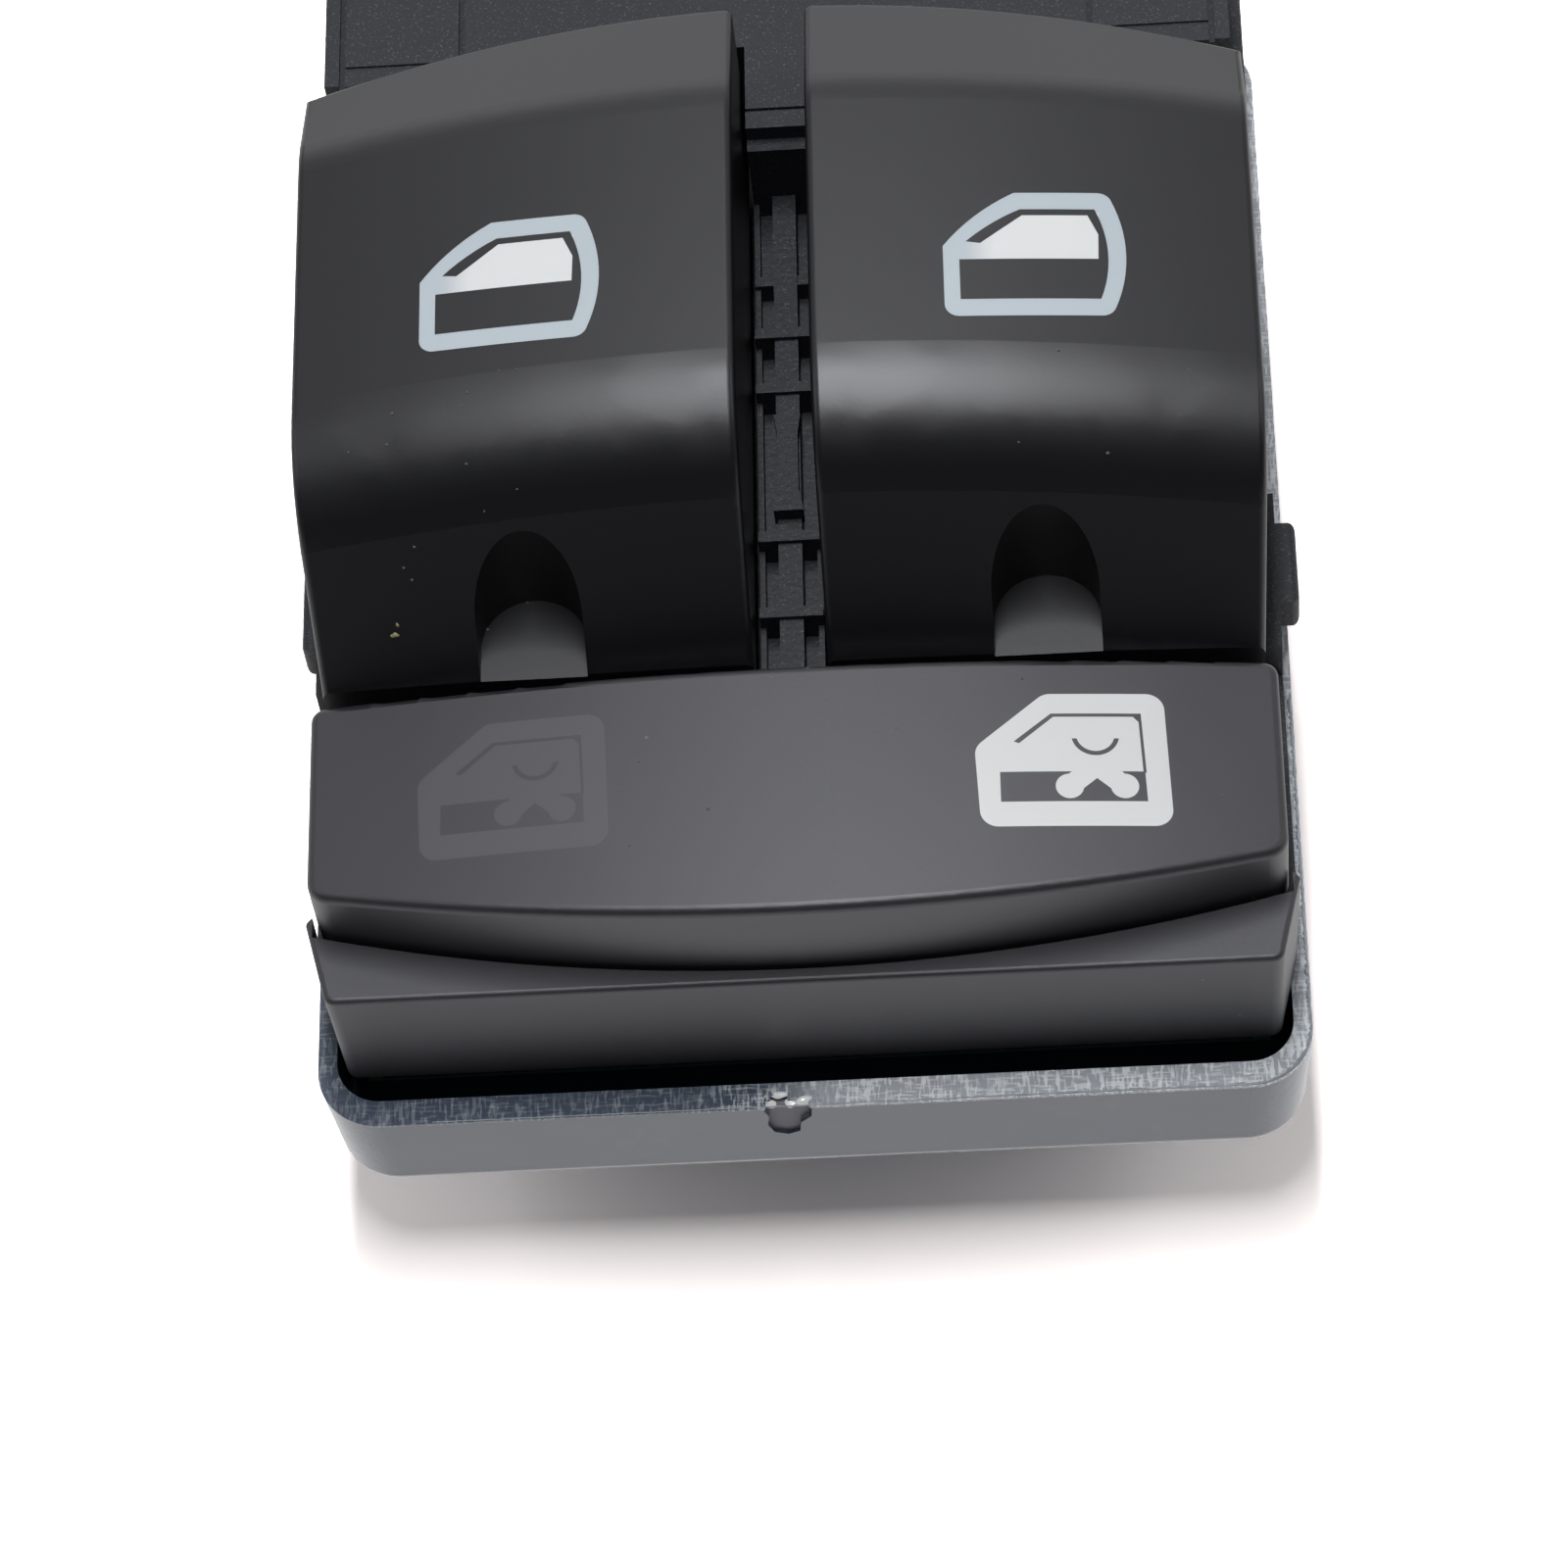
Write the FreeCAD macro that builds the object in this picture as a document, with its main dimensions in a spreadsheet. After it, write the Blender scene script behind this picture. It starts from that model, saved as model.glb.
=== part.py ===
import FreeCAD, Part
import math
import os
import Sketcher

# Power window switch. X to the right, Y away from the driver, Z up, millimetres.
# The origin is the middle of the underside. Lengths along Y are stated from the middle
# of the lock bar's near edge, heights are stacked from the underside.

doc = FreeCAD.newDocument("window_switch")
sheet = doc.addObject("Spreadsheet::Sheet", "Sizes")
sheet.Label = "Sizes"


class Dim:
    """A length that knows its sheet expression and its present value."""

    def __init__(self, text, value):
        self.text = text
        self.value = value

    def _join(self, sign, other, value):
        return Dim("(%s %s %s)" % (self.text, sign, other.text), value)

    def __add__(self, other):
        other = dim(other)
        return self._join("+", other, self.value + other.value)

    def __sub__(self, other):
        other = dim(other)
        return self._join("-", other, self.value - other.value)

    def __mul__(self, other):
        other = dim(other)
        return self._join("*", other, self.value * other.value)

    def __truediv__(self, other):
        other = dim(other)
        return self._join("/", other, self.value / other.value)

    def __radd__(self, other):
        return dim(other) + self

    def __rsub__(self, other):
        return dim(other) - self

    def __rmul__(self, other):
        return dim(other) * self

    def __neg__(self):
        return dim(0) - self


def dim(value):
    """Returns a Dim for a plain number, or the Dim itself."""
    return value if isinstance(value, Dim) else Dim("(%.6g)" % value, float(value))


def cosine(degrees):
    return Dim("cos(%s)" % degrees.text, math.cos(math.radians(degrees.value)))


def sine(degrees):
    return Dim("sin(%s)" % degrees.text, math.sin(math.radians(degrees.value)))


row = 0


def size(name, value):
    """Puts one named size on the sheet and returns it."""
    global row
    row += 1
    sheet.set("A%d" % row, name)
    sheet.set("B%d" % row, str(value))
    sheet.setAlias("B%d" % row, name)
    return Dim("Sizes.%s" % name, float(value))


# Overall
overhang = size("front_overhang", 4.25)
half_width = size("rocker_half_width", 30.0)
clear = size("fixed_clearance", 0.3)
slide_fit = size("sliding_clearance", 0.06)
wall = size("moulded_wall", 1.5)

# Heights of the levels
cover_height = size("cover_height", 12.0)
tray_height = size("tray_height", 9.0)
bezel_gap = size("bezel_shadow_gap", 0.3)
bezel_height = size("bezel_height", 10.5)
bar_rise = size("bar_rise", 7.0)
deck_rise = size("deck_rise", 3.0)
rocker_rise = size("rocker_rise", 12.0)

# Rocker
gap_half = size("rocker_gap_half", 2.3)
crown = size("crown_height", 2.5)
bar_far = size("bar_far_edge", 17.3)
rocker_gap = size("bar_rocker_gap", 1.0)
rocker_depth = size("rocker_depth", 42.1)
far_bulge = size("rocker_far_bulge", 3.7)
far_drop = size("rocker_far_drop", 2.2)
crease_setback = size("crease_setback", 7.9)
crease_round = size("crease_round", 8.0)
far_angle = size("far_bevel_angle", 17.0)
crease_bulge = size("crease_bulge", 1.8)
lip_drop = size("rocker_lip_drop", 1.5)
roll_radius = size("roll_radius", 10.0)
roll_angle = size("roll_angle", 55.0)
skirt_drop = size("rocker_skirt_drop", 4.3)
side_draft = size("rocker_side_draft", 3.0)
edge_round = size("rocker_edge_round", 0.5)
niche_shift = size("niche_shift", 0.15)
niche_radius = size("niche_radius", 3.35)
niche_depth = size("niche_depth", 5.7)
niche_floor = size("niche_floor_thickness", 1.5)
rocker_roof = size("rocker_roof", 1.6)

# Pivot and plungers
pivot_setback = size("pivot_setback", 16.2)
pivot_drop = size("pivot_drop", 0.3)
pin_radius = size("pin_radius", 1.25)
pin_fit = size("pin_running_clearance", 0.05)
pin_inner_inset = size("pin_inner_inset", 0.9)
pin_outer_inset = size("pin_outer_inset", 1.6)
pillar_width = size("pillar_width", 2.2)
plunger_inset = size("plunger_inset", 7.0)
plunger_arm = size("plunger_arm", 9.0)
plunger_radius = size("plunger_radius", 2.2)
plunger_gap = size("plunger_top_gap", 0.05)

# Lock bar
bar_side_step = size("bar_side_step", 0.05)
spring_inset = size("spring_inset", 5.45)
spring_radius = size("spring_radius", 2.3)
wire_radius = size("wire_radius", 0.3)
bar_bulge = size("bar_near_bulge", 3.8)
bar_crown = size("bar_crown", 2.4)
bar_travel = size("bar_travel", 1.2)
bar_round = size("bar_edge_round", 0.6)
bar_corner = size("bar_corner_radius", 1.6)
bar_skirt = size("bar_skirt", 1.6)

# Bezel
bezel_front = size("bezel_front", 1.15)
ear_margin = size("bezel_ear_margin", 0.7)
ear_reach = size("bezel_ear_reach", 1.35)
ear_y = size("bezel_ear_y", 4.5)
bezel_wall = size("bezel_wall", 1.5)

# Tray, housing and deck
tray_margin = size("tray_margin", 0.7)
tray_corner = size("tray_corner_radius", 4.0)
tray_front_wall = size("tray_front_wall", 1.75)
tray_side_wall = size("tray_side_wall", 1.2)
tray_floor = size("tray_floor", 1.6)
tray_taper = size("tray_taper", 3.0)
ledge_margin = size("ledge_margin", 0.6)
deck_inset = size("deck_inset", 0.6)
deck_depth = size("deck_depth", 12.7)
deck_gap = size("rocker_deck_gap", 0.5)
panel_gap = size("rocker_panel_gap", 1.9)
rear_shelf = size("rear_shelf", 1.15)
stem_overlap = size("stem_overlap", 4.6)
stem_half = size("deck_stem_half_width", 2.0)
side_panel = size("deck_side_panel_width", 8.95)
groove = size("groove_width", 0.4)
rail = size("deck_rail_width", 1.15)
tab_setback = size("catch_setback", 11.0)
tab_length = size("catch_length", 5.9)
tab_reach = size("catch_reach", 1.35)
channel_drop = size("channel_drop", 3.4)

# Electrics
board_thick = size("board_thickness", 1.6)
board_rise = size("board_rise", 2.4)
mat_thick = size("mat_thickness", 0.6)
dome_height = size("dome_height", 1.8)
board_margin = size("board_margin", 1.4)
cover_inset = size("cover_inset", 6.8)
cover_floor = size("cover_floor", 2.2)
socket_depth = size("socket_depth", 10.4)
socket_half = size("socket_half_width", 15.0)
pin_pitch = size("pin_pitch", 4.0)
bar_stem_y = size("bar_stem_y", 9.0)

# Pictograms
symbol_width = size("window_symbol_width", 11.25)
symbol_depth = size("window_symbol_depth", 9.15)
lock_inset = size("lock_symbol_inset", 12.85)
lock_width = size("lock_symbol_width", 11.95)
lock_depth = size("lock_symbol_depth", 9.3)
inlay = size("inlay_depth", 1.0)

doc.recompute()

# Places along X, from the middle plane
bar_half = half_width + bar_side_step
ear_half = bar_half + ear_margin
bezel_half = ear_half - ear_reach
ledge_half = half_width + ledge_margin
tray_half = ledge_half + tray_margin
deck_half = half_width - deck_inset
panel_half = deck_half - side_panel
pin_start = gap_half + pin_inner_inset
pin_length = half_width - pin_outer_inset - pin_start
inner_boss_end = gap_half + 2.7
inner_pillar = inner_boss_end + clear
outer_boss_start = half_width - 3.1
outer_pillar = outer_boss_start - clear - pillar_width
spring_x = bar_half - spring_inset
lock_x = bar_half - lock_inset
niche_x = (gap_half + half_width) / 2 - niche_shift
plunger_x = niche_x - plunger_inset

# Places along Y, from the bar's near edge
lip = bar_far + rocker_gap
far_edge = lip + rocker_depth
crease = far_edge - crease_setback
niche_far = lip + niche_depth
pivot_y = lip + pivot_setback
tab_y = lip + tab_setback
deck_near = far_edge + deck_gap
panel_near = far_edge + panel_gap
stem_near = far_edge - stem_overlap
deck_far = panel_near + deck_depth
total_length = overhang + deck_far + rear_shelf
tray_near = -overhang
tray_far = deck_far + rear_shelf

# Levels
tray_bottom = cover_height
rim = cover_height + tray_height
bezel_bottom = rim + bezel_gap
bezel_top = bezel_bottom + bezel_height
bar_top = bezel_top + bar_rise
deck_top = bar_top + deck_rise
plateau = bar_top + rocker_rise
pivot_z = bar_top - pivot_drop
board_z = tray_bottom + tray_floor + board_rise
board_top = board_z + board_thick
dome_top = board_top + mat_thick + dome_height
platform_top = bezel_top - bar_skirt * 2
platform_bottom = platform_top - bar_skirt


def along(y):
    """Turns a distance from the bar's near edge into the Y of the finished part."""
    return dim(y) - total_length / 2 + overhang


# What hangs on the tray: board, cover, screws, connector and lamps
board_half = tray_half - tray_side_wall - board_margin
board_near = tray_near + tray_front_wall + 4.0
board_far = tray_far - tray_front_wall - 2.9
cover_half = tray_half - cover_inset
cover_near = tray_near + 10.25
cover_far = tray_far - 8.15
cover_top = cover_height - 0.02
socket_roof = cover_height - 2.6
socket_near = cover_far - socket_depth
pin_middle = (cover_floor + socket_roof) / 2
rocker_lamp_y = pivot_y + 4.3
lock_lamp_y = bar_stem_y + 0.4


def case_screw_places():
    """Name, X and Y of the screws that hold cover, tray and housing together."""
    return [("%s_%d" % (end, sx), (cover_half - 5.0) * sx, along(y))
            for sx in (-1, 1) for end, y in (("near", cover_near + 9.0), ("far", cover_far - 18.0))]


def board_screw_places():
    """Name, X and Y of the screws that hold the board."""
    return [("left", -(board_half - 2.2), along(board_near + 5.5)),
            ("right", board_half - 2.2, along(board_far - 5.5))]


def lamp_places():
    """Name, X and Y of the lamps and of the guides above them."""
    return [("%s_%d" % (tag, sx), x * sx, y)
            for sx in (-1, 1) for tag, x, y in (("rocker", niche_x, rocker_lamp_y),
                                                ("lock", lock_x, lock_lamp_y))]


# Building helpers

def place(obj, x=0, y=0, z=0):
    """Binds an object's position to sizes."""
    for axis, value in (("x", x), ("y", y), ("z", z)):
        value = dim(value)
        obj.setExpression("Placement.Base." + axis, value.text)


def box(name, x0, x1, y0, y1, z0, z1):
    """A box between two corners."""
    x0, x1, y0, y1, z0, z1 = (dim(v) for v in (x0, x1, y0, y1, z0, z1))
    obj = doc.addObject("Part::Box", name)
    place(obj, x0, y0, z0)
    obj.setExpression("Length", (x1 - x0).text)
    obj.setExpression("Width", (y1 - y0).text)
    obj.setExpression("Height", (z1 - z0).text)
    return obj


TURNS = {
    "z": FreeCAD.Rotation(),
    "x": FreeCAD.Rotation(FreeCAD.Vector(0, 1, 0), 90),
    "y": FreeCAD.Rotation(FreeCAD.Vector(1, 0, 0), -90),
}


def rod(name, x, y, z, radius, length, axis="z"):
    """A cylinder that starts at a point and runs along an axis."""
    obj = doc.addObject("Part::Cylinder", name)
    obj.Placement = FreeCAD.Placement(FreeCAD.Vector(), TURNS[axis])
    place(obj, x, y, z)
    obj.setExpression("Radius", dim(radius).text)
    obj.setExpression("Height", dim(length).text)
    return obj


def cone(name, x, y, z, radius1, radius2, height):
    """An upright truncated cone."""
    obj = doc.addObject("Part::Cone", name)
    place(obj, x, y, z)
    obj.setExpression("Radius1", dim(radius1).text)
    obj.setExpression("Radius2", dim(radius2).text)
    obj.setExpression("Height", dim(height).text)
    return obj


def fuse(name, *parts):
    obj = doc.addObject("Part::MultiFuse", name)
    obj.Shapes = list(parts)
    obj.Refine = True
    return obj


def cut(name, base, *tools):
    obj = doc.addObject("Part::Cut", name)
    obj.Base = base
    obj.Tool = tools[0] if len(tools) == 1 else fuse(name + "_tools", *tools)
    obj.Refine = True
    return obj


def common(name, first, second):
    obj = doc.addObject("Part::MultiCommon", name)
    obj.Shapes = [first, second]
    return obj


def group(name, parts):
    """Several separate solids under one name."""
    obj = doc.addObject("Part::Compound", name)
    obj.Links = list(parts)
    return obj


def new_body(name):
    return doc.addObject("PartDesign::Body", name)


def sketch_on(body, name, plane, offset=None):
    """A sketch on one of the body's origin planes, moved along that plane's normal."""
    sketch = body.newObject("Sketcher::SketchObject", name)
    base = [f for f in body.Origin.OriginFeatures if f.Role == plane][0]
    sketch.AttachmentSupport = [(base, "")]
    sketch.MapMode = "FlatFace"
    if offset is not None:
        sketch.setExpression("AttachmentOffset.Base.z", dim(offset).text)
    return sketch


def draw(sketch, points, bends=None):
    """Draws a closed outline. Each corner is bound to sizes.

    points holds (u, v) corners. bends maps the number of a side to
    (radius, bulge side), where +1 bulges to the right of the direction of travel.
    """
    bends = bends or {}
    points = [(dim(u), dim(v)) for u, v in points]
    count = len(points)
    start = sketch.GeometryCount
    ends = []
    for i in range(count):
        a = FreeCAD.Vector(points[i][0].value, points[i][1].value, 0)
        j = (i + 1) % count
        b = FreeCAD.Vector(points[j][0].value, points[j][1].value, 0)
        if i in bends:
            radius, side = bends[i]
            radius = dim(radius)
            half = (b - a).Length / 2
            rise = radius.value - math.sqrt(radius.value ** 2 - half ** 2)
            along_side = (b - a).normalize()
            right = FreeCAD.Vector(along_side.y, -along_side.x, 0)
            top = (a + b) * 0.5 + right * (rise * side)
            edge = Part.Arc(a, top, b)
            index = sketch.addGeometry(edge, False)
            # An arc is stored counter-clockwise, so its first end may be the far one
            ends.append((1, 2) if side > 0 else (2, 1))
        else:
            index = sketch.addGeometry(Part.LineSegment(a, b), False)
            ends.append((1, 2))
    for i in range(count):
        j = (i + 1) % count
        sketch.addConstraint(Sketcher.Constraint(
            "Coincident", start + i, ends[i][1], start + j, ends[j][0]))
    for i in range(count):
        u, v = points[i]
        for kind, value in (("DistanceX", u), ("DistanceY", v)):
            if abs(value.value) < 1e-9 and value.text == "(0)":
                held = Sketcher.Constraint("PointOnObject", start + i, ends[i][0],
                                           -2 if kind == "DistanceX" else -1)
                sketch.addConstraint(held)
                continue
            held = Sketcher.Constraint(kind, -1, 1, start + i, ends[i][0], value.value)
            number = sketch.addConstraint(held)
            sketch.setExpression("Constraints[%d]" % number, value.text)
        if i in bends:
            radius = dim(bends[i][0])
            number = sketch.addConstraint(
                Sketcher.Constraint("Radius", start + i, radius.value))
            sketch.setExpression("Constraints[%d]" % number, radius.text)


def rounded(x0, x1, y0, y1, radius):
    """Corners and bends of a rectangle with round corners, for draw."""
    r = dim(radius)
    points = [(x0 + r, y0), (x1 - r, y0), (x1, y0 + r), (x1, y1 - r),
              (x1 - r, y1), (x0 + r, y1), (x0, y1 - r), (x0, y0 + r)]
    return points, {1: (r, 1), 3: (r, 1), 5: (r, 1), 7: (r, 1)}


def pad(body, name, sketch, length, down=False, middle=False, taper=None):
    feature = body.newObject("PartDesign::Pad", name)
    feature.Profile = sketch
    feature.Reversed = down
    if middle:
        feature.Midplane = True
    feature.setExpression("Length", dim(length).text)
    if taper is not None:
        feature.setExpression("TaperAngle", dim(taper).text)
    sketch.Visibility = False
    doc.recompute()
    return feature


def pocket(body, name, sketch, length, up=False):
    feature = body.newObject("PartDesign::Pocket", name)
    feature.Profile = sketch
    feature.Reversed = up
    feature.setExpression("Length", dim(length).text)
    doc.recompute()
    return feature


def fillet(body, name, base, radius, test):
    """Rounds the edges of a body that pass a test."""
    doc.recompute()
    picked = ["Edge%d" % (n + 1) for n, edge in enumerate(base.Shape.Edges) if test(edge)]
    feature = body.newObject("PartDesign::Fillet", name)
    feature.Base = (base, picked)
    feature.setExpression("Radius", dim(radius).text)
    doc.recompute()
    return feature


def round_edges(name, base, radius, test):
    """Rounds edges of a solid that was made with booleans."""
    doc.recompute()
    picked = [n + 1 for n, edge in enumerate(base.Shape.Edges) if test(edge)]
    feature = doc.addObject("Part::Fillet", name)
    feature.Base = base
    feature.Edges = [(n, dim(radius).value, dim(radius).value) for n in picked]
    return feature


def upright(edge):
    """True for a straight vertical edge."""
    if edge.Curve.TypeId != "Part::GeomLine":
        return False
    return abs(edge.tangentAt(edge.FirstParameter).z) > 0.99999


def steep(edge):
    """True for an edge between a lower and an upper corner, upright or drafted."""
    if len(edge.Vertexes) < 2:
        return False
    reach = edge.Vertexes[1].Point - edge.Vertexes[0].Point
    return reach.Length > 0.1 and abs(reach.z) > 0.7 * reach.Length


def mid(edge):
    return edge.valueAt((edge.FirstParameter + edge.LastParameter) / 2)


nodes = {}


def node(name, obj):
    """Keeps one finished sub-part under its file name."""
    obj.Label = name
    nodes[name] = obj
    return obj


# Base tray

def make_tray():
    """The tub: tapered walls, rounded corners, floor with openings and board pillars."""
    body = new_body("tray_body")
    front = along(tray_near)
    back = along(tray_far)
    outline = sketch_on(body, "tray_outline", "XY_Plane", rim)
    draw(outline, [(-tray_half, front), (tray_half, front), (tray_half, back), (-tray_half, back)])
    tub = pad(body, "tray_block", outline, tray_height, down=True, taper=-tray_taper)
    corners = fillet(body, "tray_corners", tub, tray_corner, steep)
    low = tray_bottom.value + 0.01
    foot = fillet(body, "tray_foot", corners, 1.2,
                  lambda e: e.BoundBox.ZMax < low)
    hollow = sketch_on(body, "tray_hollow_outline", "XY_Plane", rim)
    inner = tray_half - tray_side_wall
    points, bends = rounded(-inner, inner, front + tray_front_wall, back - tray_front_wall,
                            tray_corner - tray_side_wall)
    draw(hollow, points, bends)
    body.Tip = pocket(body, "tray_hollow", hollow, tray_height - tray_floor)
    posts = []
    for sx in (-1, 1):
        for end, y in (("near", board_near + 5.5), ("far", board_far - 5.5)):
            posts.append(rod("tray_post_%s_%d" % (end, sx), (board_half - 2.2) * sx, along(y),
                             tray_bottom + tray_floor - 0.2, 2.6, board_rise + 0.2))
    tub = fuse("tray_with_posts", body, *posts)
    tools = [box("tray_pin_slot", 1 - socket_half, socket_half - 1, along(socket_near - 5.5),
                 along(socket_near + 1.0), tray_bottom - 1, tray_bottom + tray_floor + 1)]
    for tag, x, y in case_screw_places():
        tools.append(rod("tray_screw_hole_" + tag, x, y, tray_bottom - 1, 1.45, tray_floor + 2.4))
    for tag, x, y in board_screw_places():
        tools.append(rod("tray_board_screw_hole_" + tag, x, y,
                         tray_bottom + tray_floor + 0.1, 0.95, 4))
    # The broken-off tongue at the middle of the front wall: a notch in the rim
    # and a shallow torn patch below it
    scar = new_body("scar_body")
    patch = sketch_on(scar, "scar_outline", "XZ_Plane", -along(tray_near))
    left = dim(-3.2)
    draw(patch, [(left + 0.25, rim - 1.3), (left + 0.1, rim - 2.6), (left + 0.45, rim - 3.7),
                 (left + 1.3, rim - 4.1), (left + 2.05, rim - 3.7), (left + 2.2, rim - 2.4),
                 (left + 2.9, rim - 1.5), (left + 3.0, rim - 0.4), (left + 2.6, rim + 0.4),
                 (left + 0.2, rim + 0.4), (left, rim - 0.5)])
    pad(scar, "scar_cut", patch, 1.0, middle=True)
    tools.append(scar)
    tools.append(box("rim_notch", left + 0.4, left + 1.5, along(tray_near - 1),
                     along(tray_near + 0.9), rim - 0.45, rim + 1))
    return node("base_tray", cut("tray_cut", tub, *tools))


def screw(name, x, y, z, head, head_height, shank, length, turned=False):
    """A screw whose head stands at z and whose shank runs up, or down if turned."""
    sign = -1 if turned else 1
    top = rod(name + "_head", x, y, z, head, head_height)
    if turned:
        stem = rod(name + "_shank", x, y, dim(z) - length, shank, dim(length) + 0.1)
    else:
        stem = rod(name + "_shank", x, y, dim(z) + head_height - 0.1, shank, dim(length) + 0.1)
    slot_z = dim(z) - 0.1 if not turned else dim(z) + head_height - 0.7
    a = box(name + "_slot_a", dim(x) - 0.3, dim(x) + 0.3, y - 1.1, y + 1.1, slot_z, slot_z + 0.8)
    b = box(name + "_slot_b", dim(x) - 1.1, dim(x) + 1.1, y - 0.3, y + 0.3, slot_z, slot_z + 0.8)
    return cut(name, fuse(name + "_blank", top, stem), a, b)


def pin_places():
    """X of each contact, Y of its leg and Z of the underside of its tip."""
    rows = ((socket_near - 3.4, pin_middle - 1.6), (socket_near - 1.8, pin_middle + 1.0))
    return [(pin_pitch * (i - 2.5), y, z) for i in range(6) for y, z in rows]


def make_cover():
    """The lower body with the connector socket at its far end."""
    body = new_body("cover_body")
    outline = sketch_on(body, "cover_outline", "XY_Plane", 0)
    near, far = along(cover_near), along(cover_far)
    draw(outline, [(-cover_half, near), (cover_half, near), (cover_half, far), (-cover_half, far)])
    block = pad(body, "cover_block", outline, cover_top)
    corners = fillet(body, "cover_corners", block, 3.0, upright)
    foot = fillet(body, "cover_foot", corners, 0.8, lambda e: e.BoundBox.ZMax < 0.01)
    hollow = sketch_on(body, "cover_hollow_outline", "XY_Plane", cover_top)
    inner = cover_half - 1.9
    draw(hollow, [(-inner, near + 1.9), (inner, near + 1.9), (inner, far - 18.0), (-inner, far - 18.0)])
    pocket(body, "cover_hollow", hollow, cover_top - cover_floor + 0.2)
    body.Tip = body.Group[-1]
    columns = []
    tools = []
    for tag, x, y in case_screw_places():
        columns.append(rod("cover_column_" + tag, x, y, 0.9, 3.9, cover_height - 0.92))
        tools.append(rod("cover_bore_" + tag, x, y, -1, 1.45, cover_height + 2))
        tools.append(rod("cover_sink_" + tag, x, y, -1, 2.9, 3.4))
    mouth = along(cover_far + 1.0)
    socket = box("socket_space", -socket_half, socket_half, along(socket_near), mouth,
                 cover_floor, socket_roof)
    key = box("socket_key", -3, 3, along(socket_near), mouth, socket_roof - 0.1, socket_roof + 1.1)
    slot = box("cover_pin_slot", 2.3 - socket_half, socket_half - 2.3, along(socket_near - 4.6),
               along(socket_near - 0.7), cover_floor + 0.2, cover_height + 1)
    for x, y, z in pin_places():
        tools.append(box("cover_pin_hole_%d" % len(tools), x - 0.42, x + 0.42,
                         along(socket_near - 1.0), along(socket_near + 0.4), z - 0.1, z + 0.74))
    solid = fuse("cover_with_columns", body, *columns)
    latch = box("cover_latch_window", -2.5, 2.5, along(cover_far - 6.5), along(cover_far - 3.5),
                -1, cover_floor + 0.8)
    whole = cut("cover_cut", solid, socket, key, slot, latch, *tools)
    return node("bottom_cover", whole)


def make_screws():
    case = []
    for tag, x, y in case_screw_places():
        case.append(screw("case_screw_" + tag, x, y, dim(0.6), 2.6, 1.8, 1.3, rim - 4.5))
    node("case_screws", group("case_screw_group", case))
    small = []
    for tag, x, y in board_screw_places():
        small.append(screw("board_screw_" + tag, x, y, board_top, 1.7, 1.0, 0.85, 3.4, turned=True))
    node("board_screws", group("board_screw_group", small))


def make_board():
    """Circuit board, silicone dome mat, chip, lamps, contacts and their block."""
    plate = box("board_plate", -board_half, board_half, along(board_near), along(board_far),
                board_z, board_top)
    tools = []
    for tag, x, y in case_screw_places():
        tools.append(rod("board_clear_" + tag, x, y, board_z - 1, 3.4, board_thick + 2))
    for tag, x, y in board_screw_places():
        tools.append(rod("board_hole_" + tag, x, y, board_z - 1, 0.95, board_thick + 2))
    for i, (x, y, z) in enumerate(pin_places()):
        tools.append(box("board_pin_hole_%d" % i, x - 0.4, x + 0.4,
                         along(y - 0.4), along(y + 0.4), board_z - 1, board_top + 1))
    node("circuit_board", cut("board_cut", plate, *tools))

    mat_half = plunger_x + 5.2
    mat = [box("mat_sheet", -mat_half, mat_half, along(bar_stem_y - 3.8),
               along(pivot_y + plunger_arm + 3.7), board_top, board_top + mat_thick)]
    spots = [(0, bar_stem_y)]
    for sx in (-1, 1):
        for sign in (-1, 1):
            spots.append((sx, pivot_y + plunger_arm * sign))
    for i, (sx, y) in enumerate(spots):
        x = plunger_x * sx
        mat.append(cone("dome_%d" % i, x, along(y), board_top + mat_thick - 0.05,
                        3.2, 1.9, dome_height + 0.05))
    node("dome_mat", fuse("mat_fused", *mat))

    chip_x = -(board_half - 9.7)
    chip_y = board_far - 12.0
    chip = box("chip_block", chip_x - 3.5, chip_x + 3.5, along(chip_y - 3.5), along(chip_y + 3.5),
               board_top, board_top + 1.1)
    node("controller_chip", round_edges("chip_soft", chip, 0.15, upright))

    lamps = []
    for tag, x, y in lamp_places():
        lamps.append(box("lamp_" + tag, x - 1.0, x + 1.0, along(y - 0.7), along(y + 0.7),
                         board_top, board_top + 0.8))
    node("lamps", group("lamp_group", lamps))

    bits = []
    for i in range(5):
        for j in range(2):
            x = board_half - 13.2 + 2.1 * i
            y = board_far - 14.5 + 3.4 * j
            bits.append(box("chip_part_%d_%d" % (i, j), x - 0.5, x + 0.5,
                            along(y - 1.0), along(y + 1.0), board_top, board_top + 0.6))
    node("chip_parts", group("chip_part_group", bits))

    pins = []
    holes = []
    for i, (x, y, z) in enumerate(pin_places()):
        leg = box("pin_leg_%d" % i, x - 0.32, x + 0.32, along(y - 0.32), along(y + 0.32),
                  z, board_top + 0.9)
        tip = box("pin_tip_%d" % i, x - 0.32, x + 0.32, along(y - 0.32), along(cover_far - 5.5),
                  z, z + 0.64)
        pins.append(fuse("pin_%d" % i, leg, tip))
        holes.append(box("header_hole_%d" % i, x - 0.35, x + 0.35,
                         along(y - 0.35), along(y + 0.35), 0, board_z + 1))
    node("terminal_pins", group("pin_group", pins))
    block = box("header_block", 2.6 - socket_half, socket_half - 2.6, along(socket_near - 4.3),
                along(socket_near - 1.0), pin_middle + 2.6, board_z - 0.4)
    node("pin_header", cut("header_cut", block, *holes))


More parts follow.
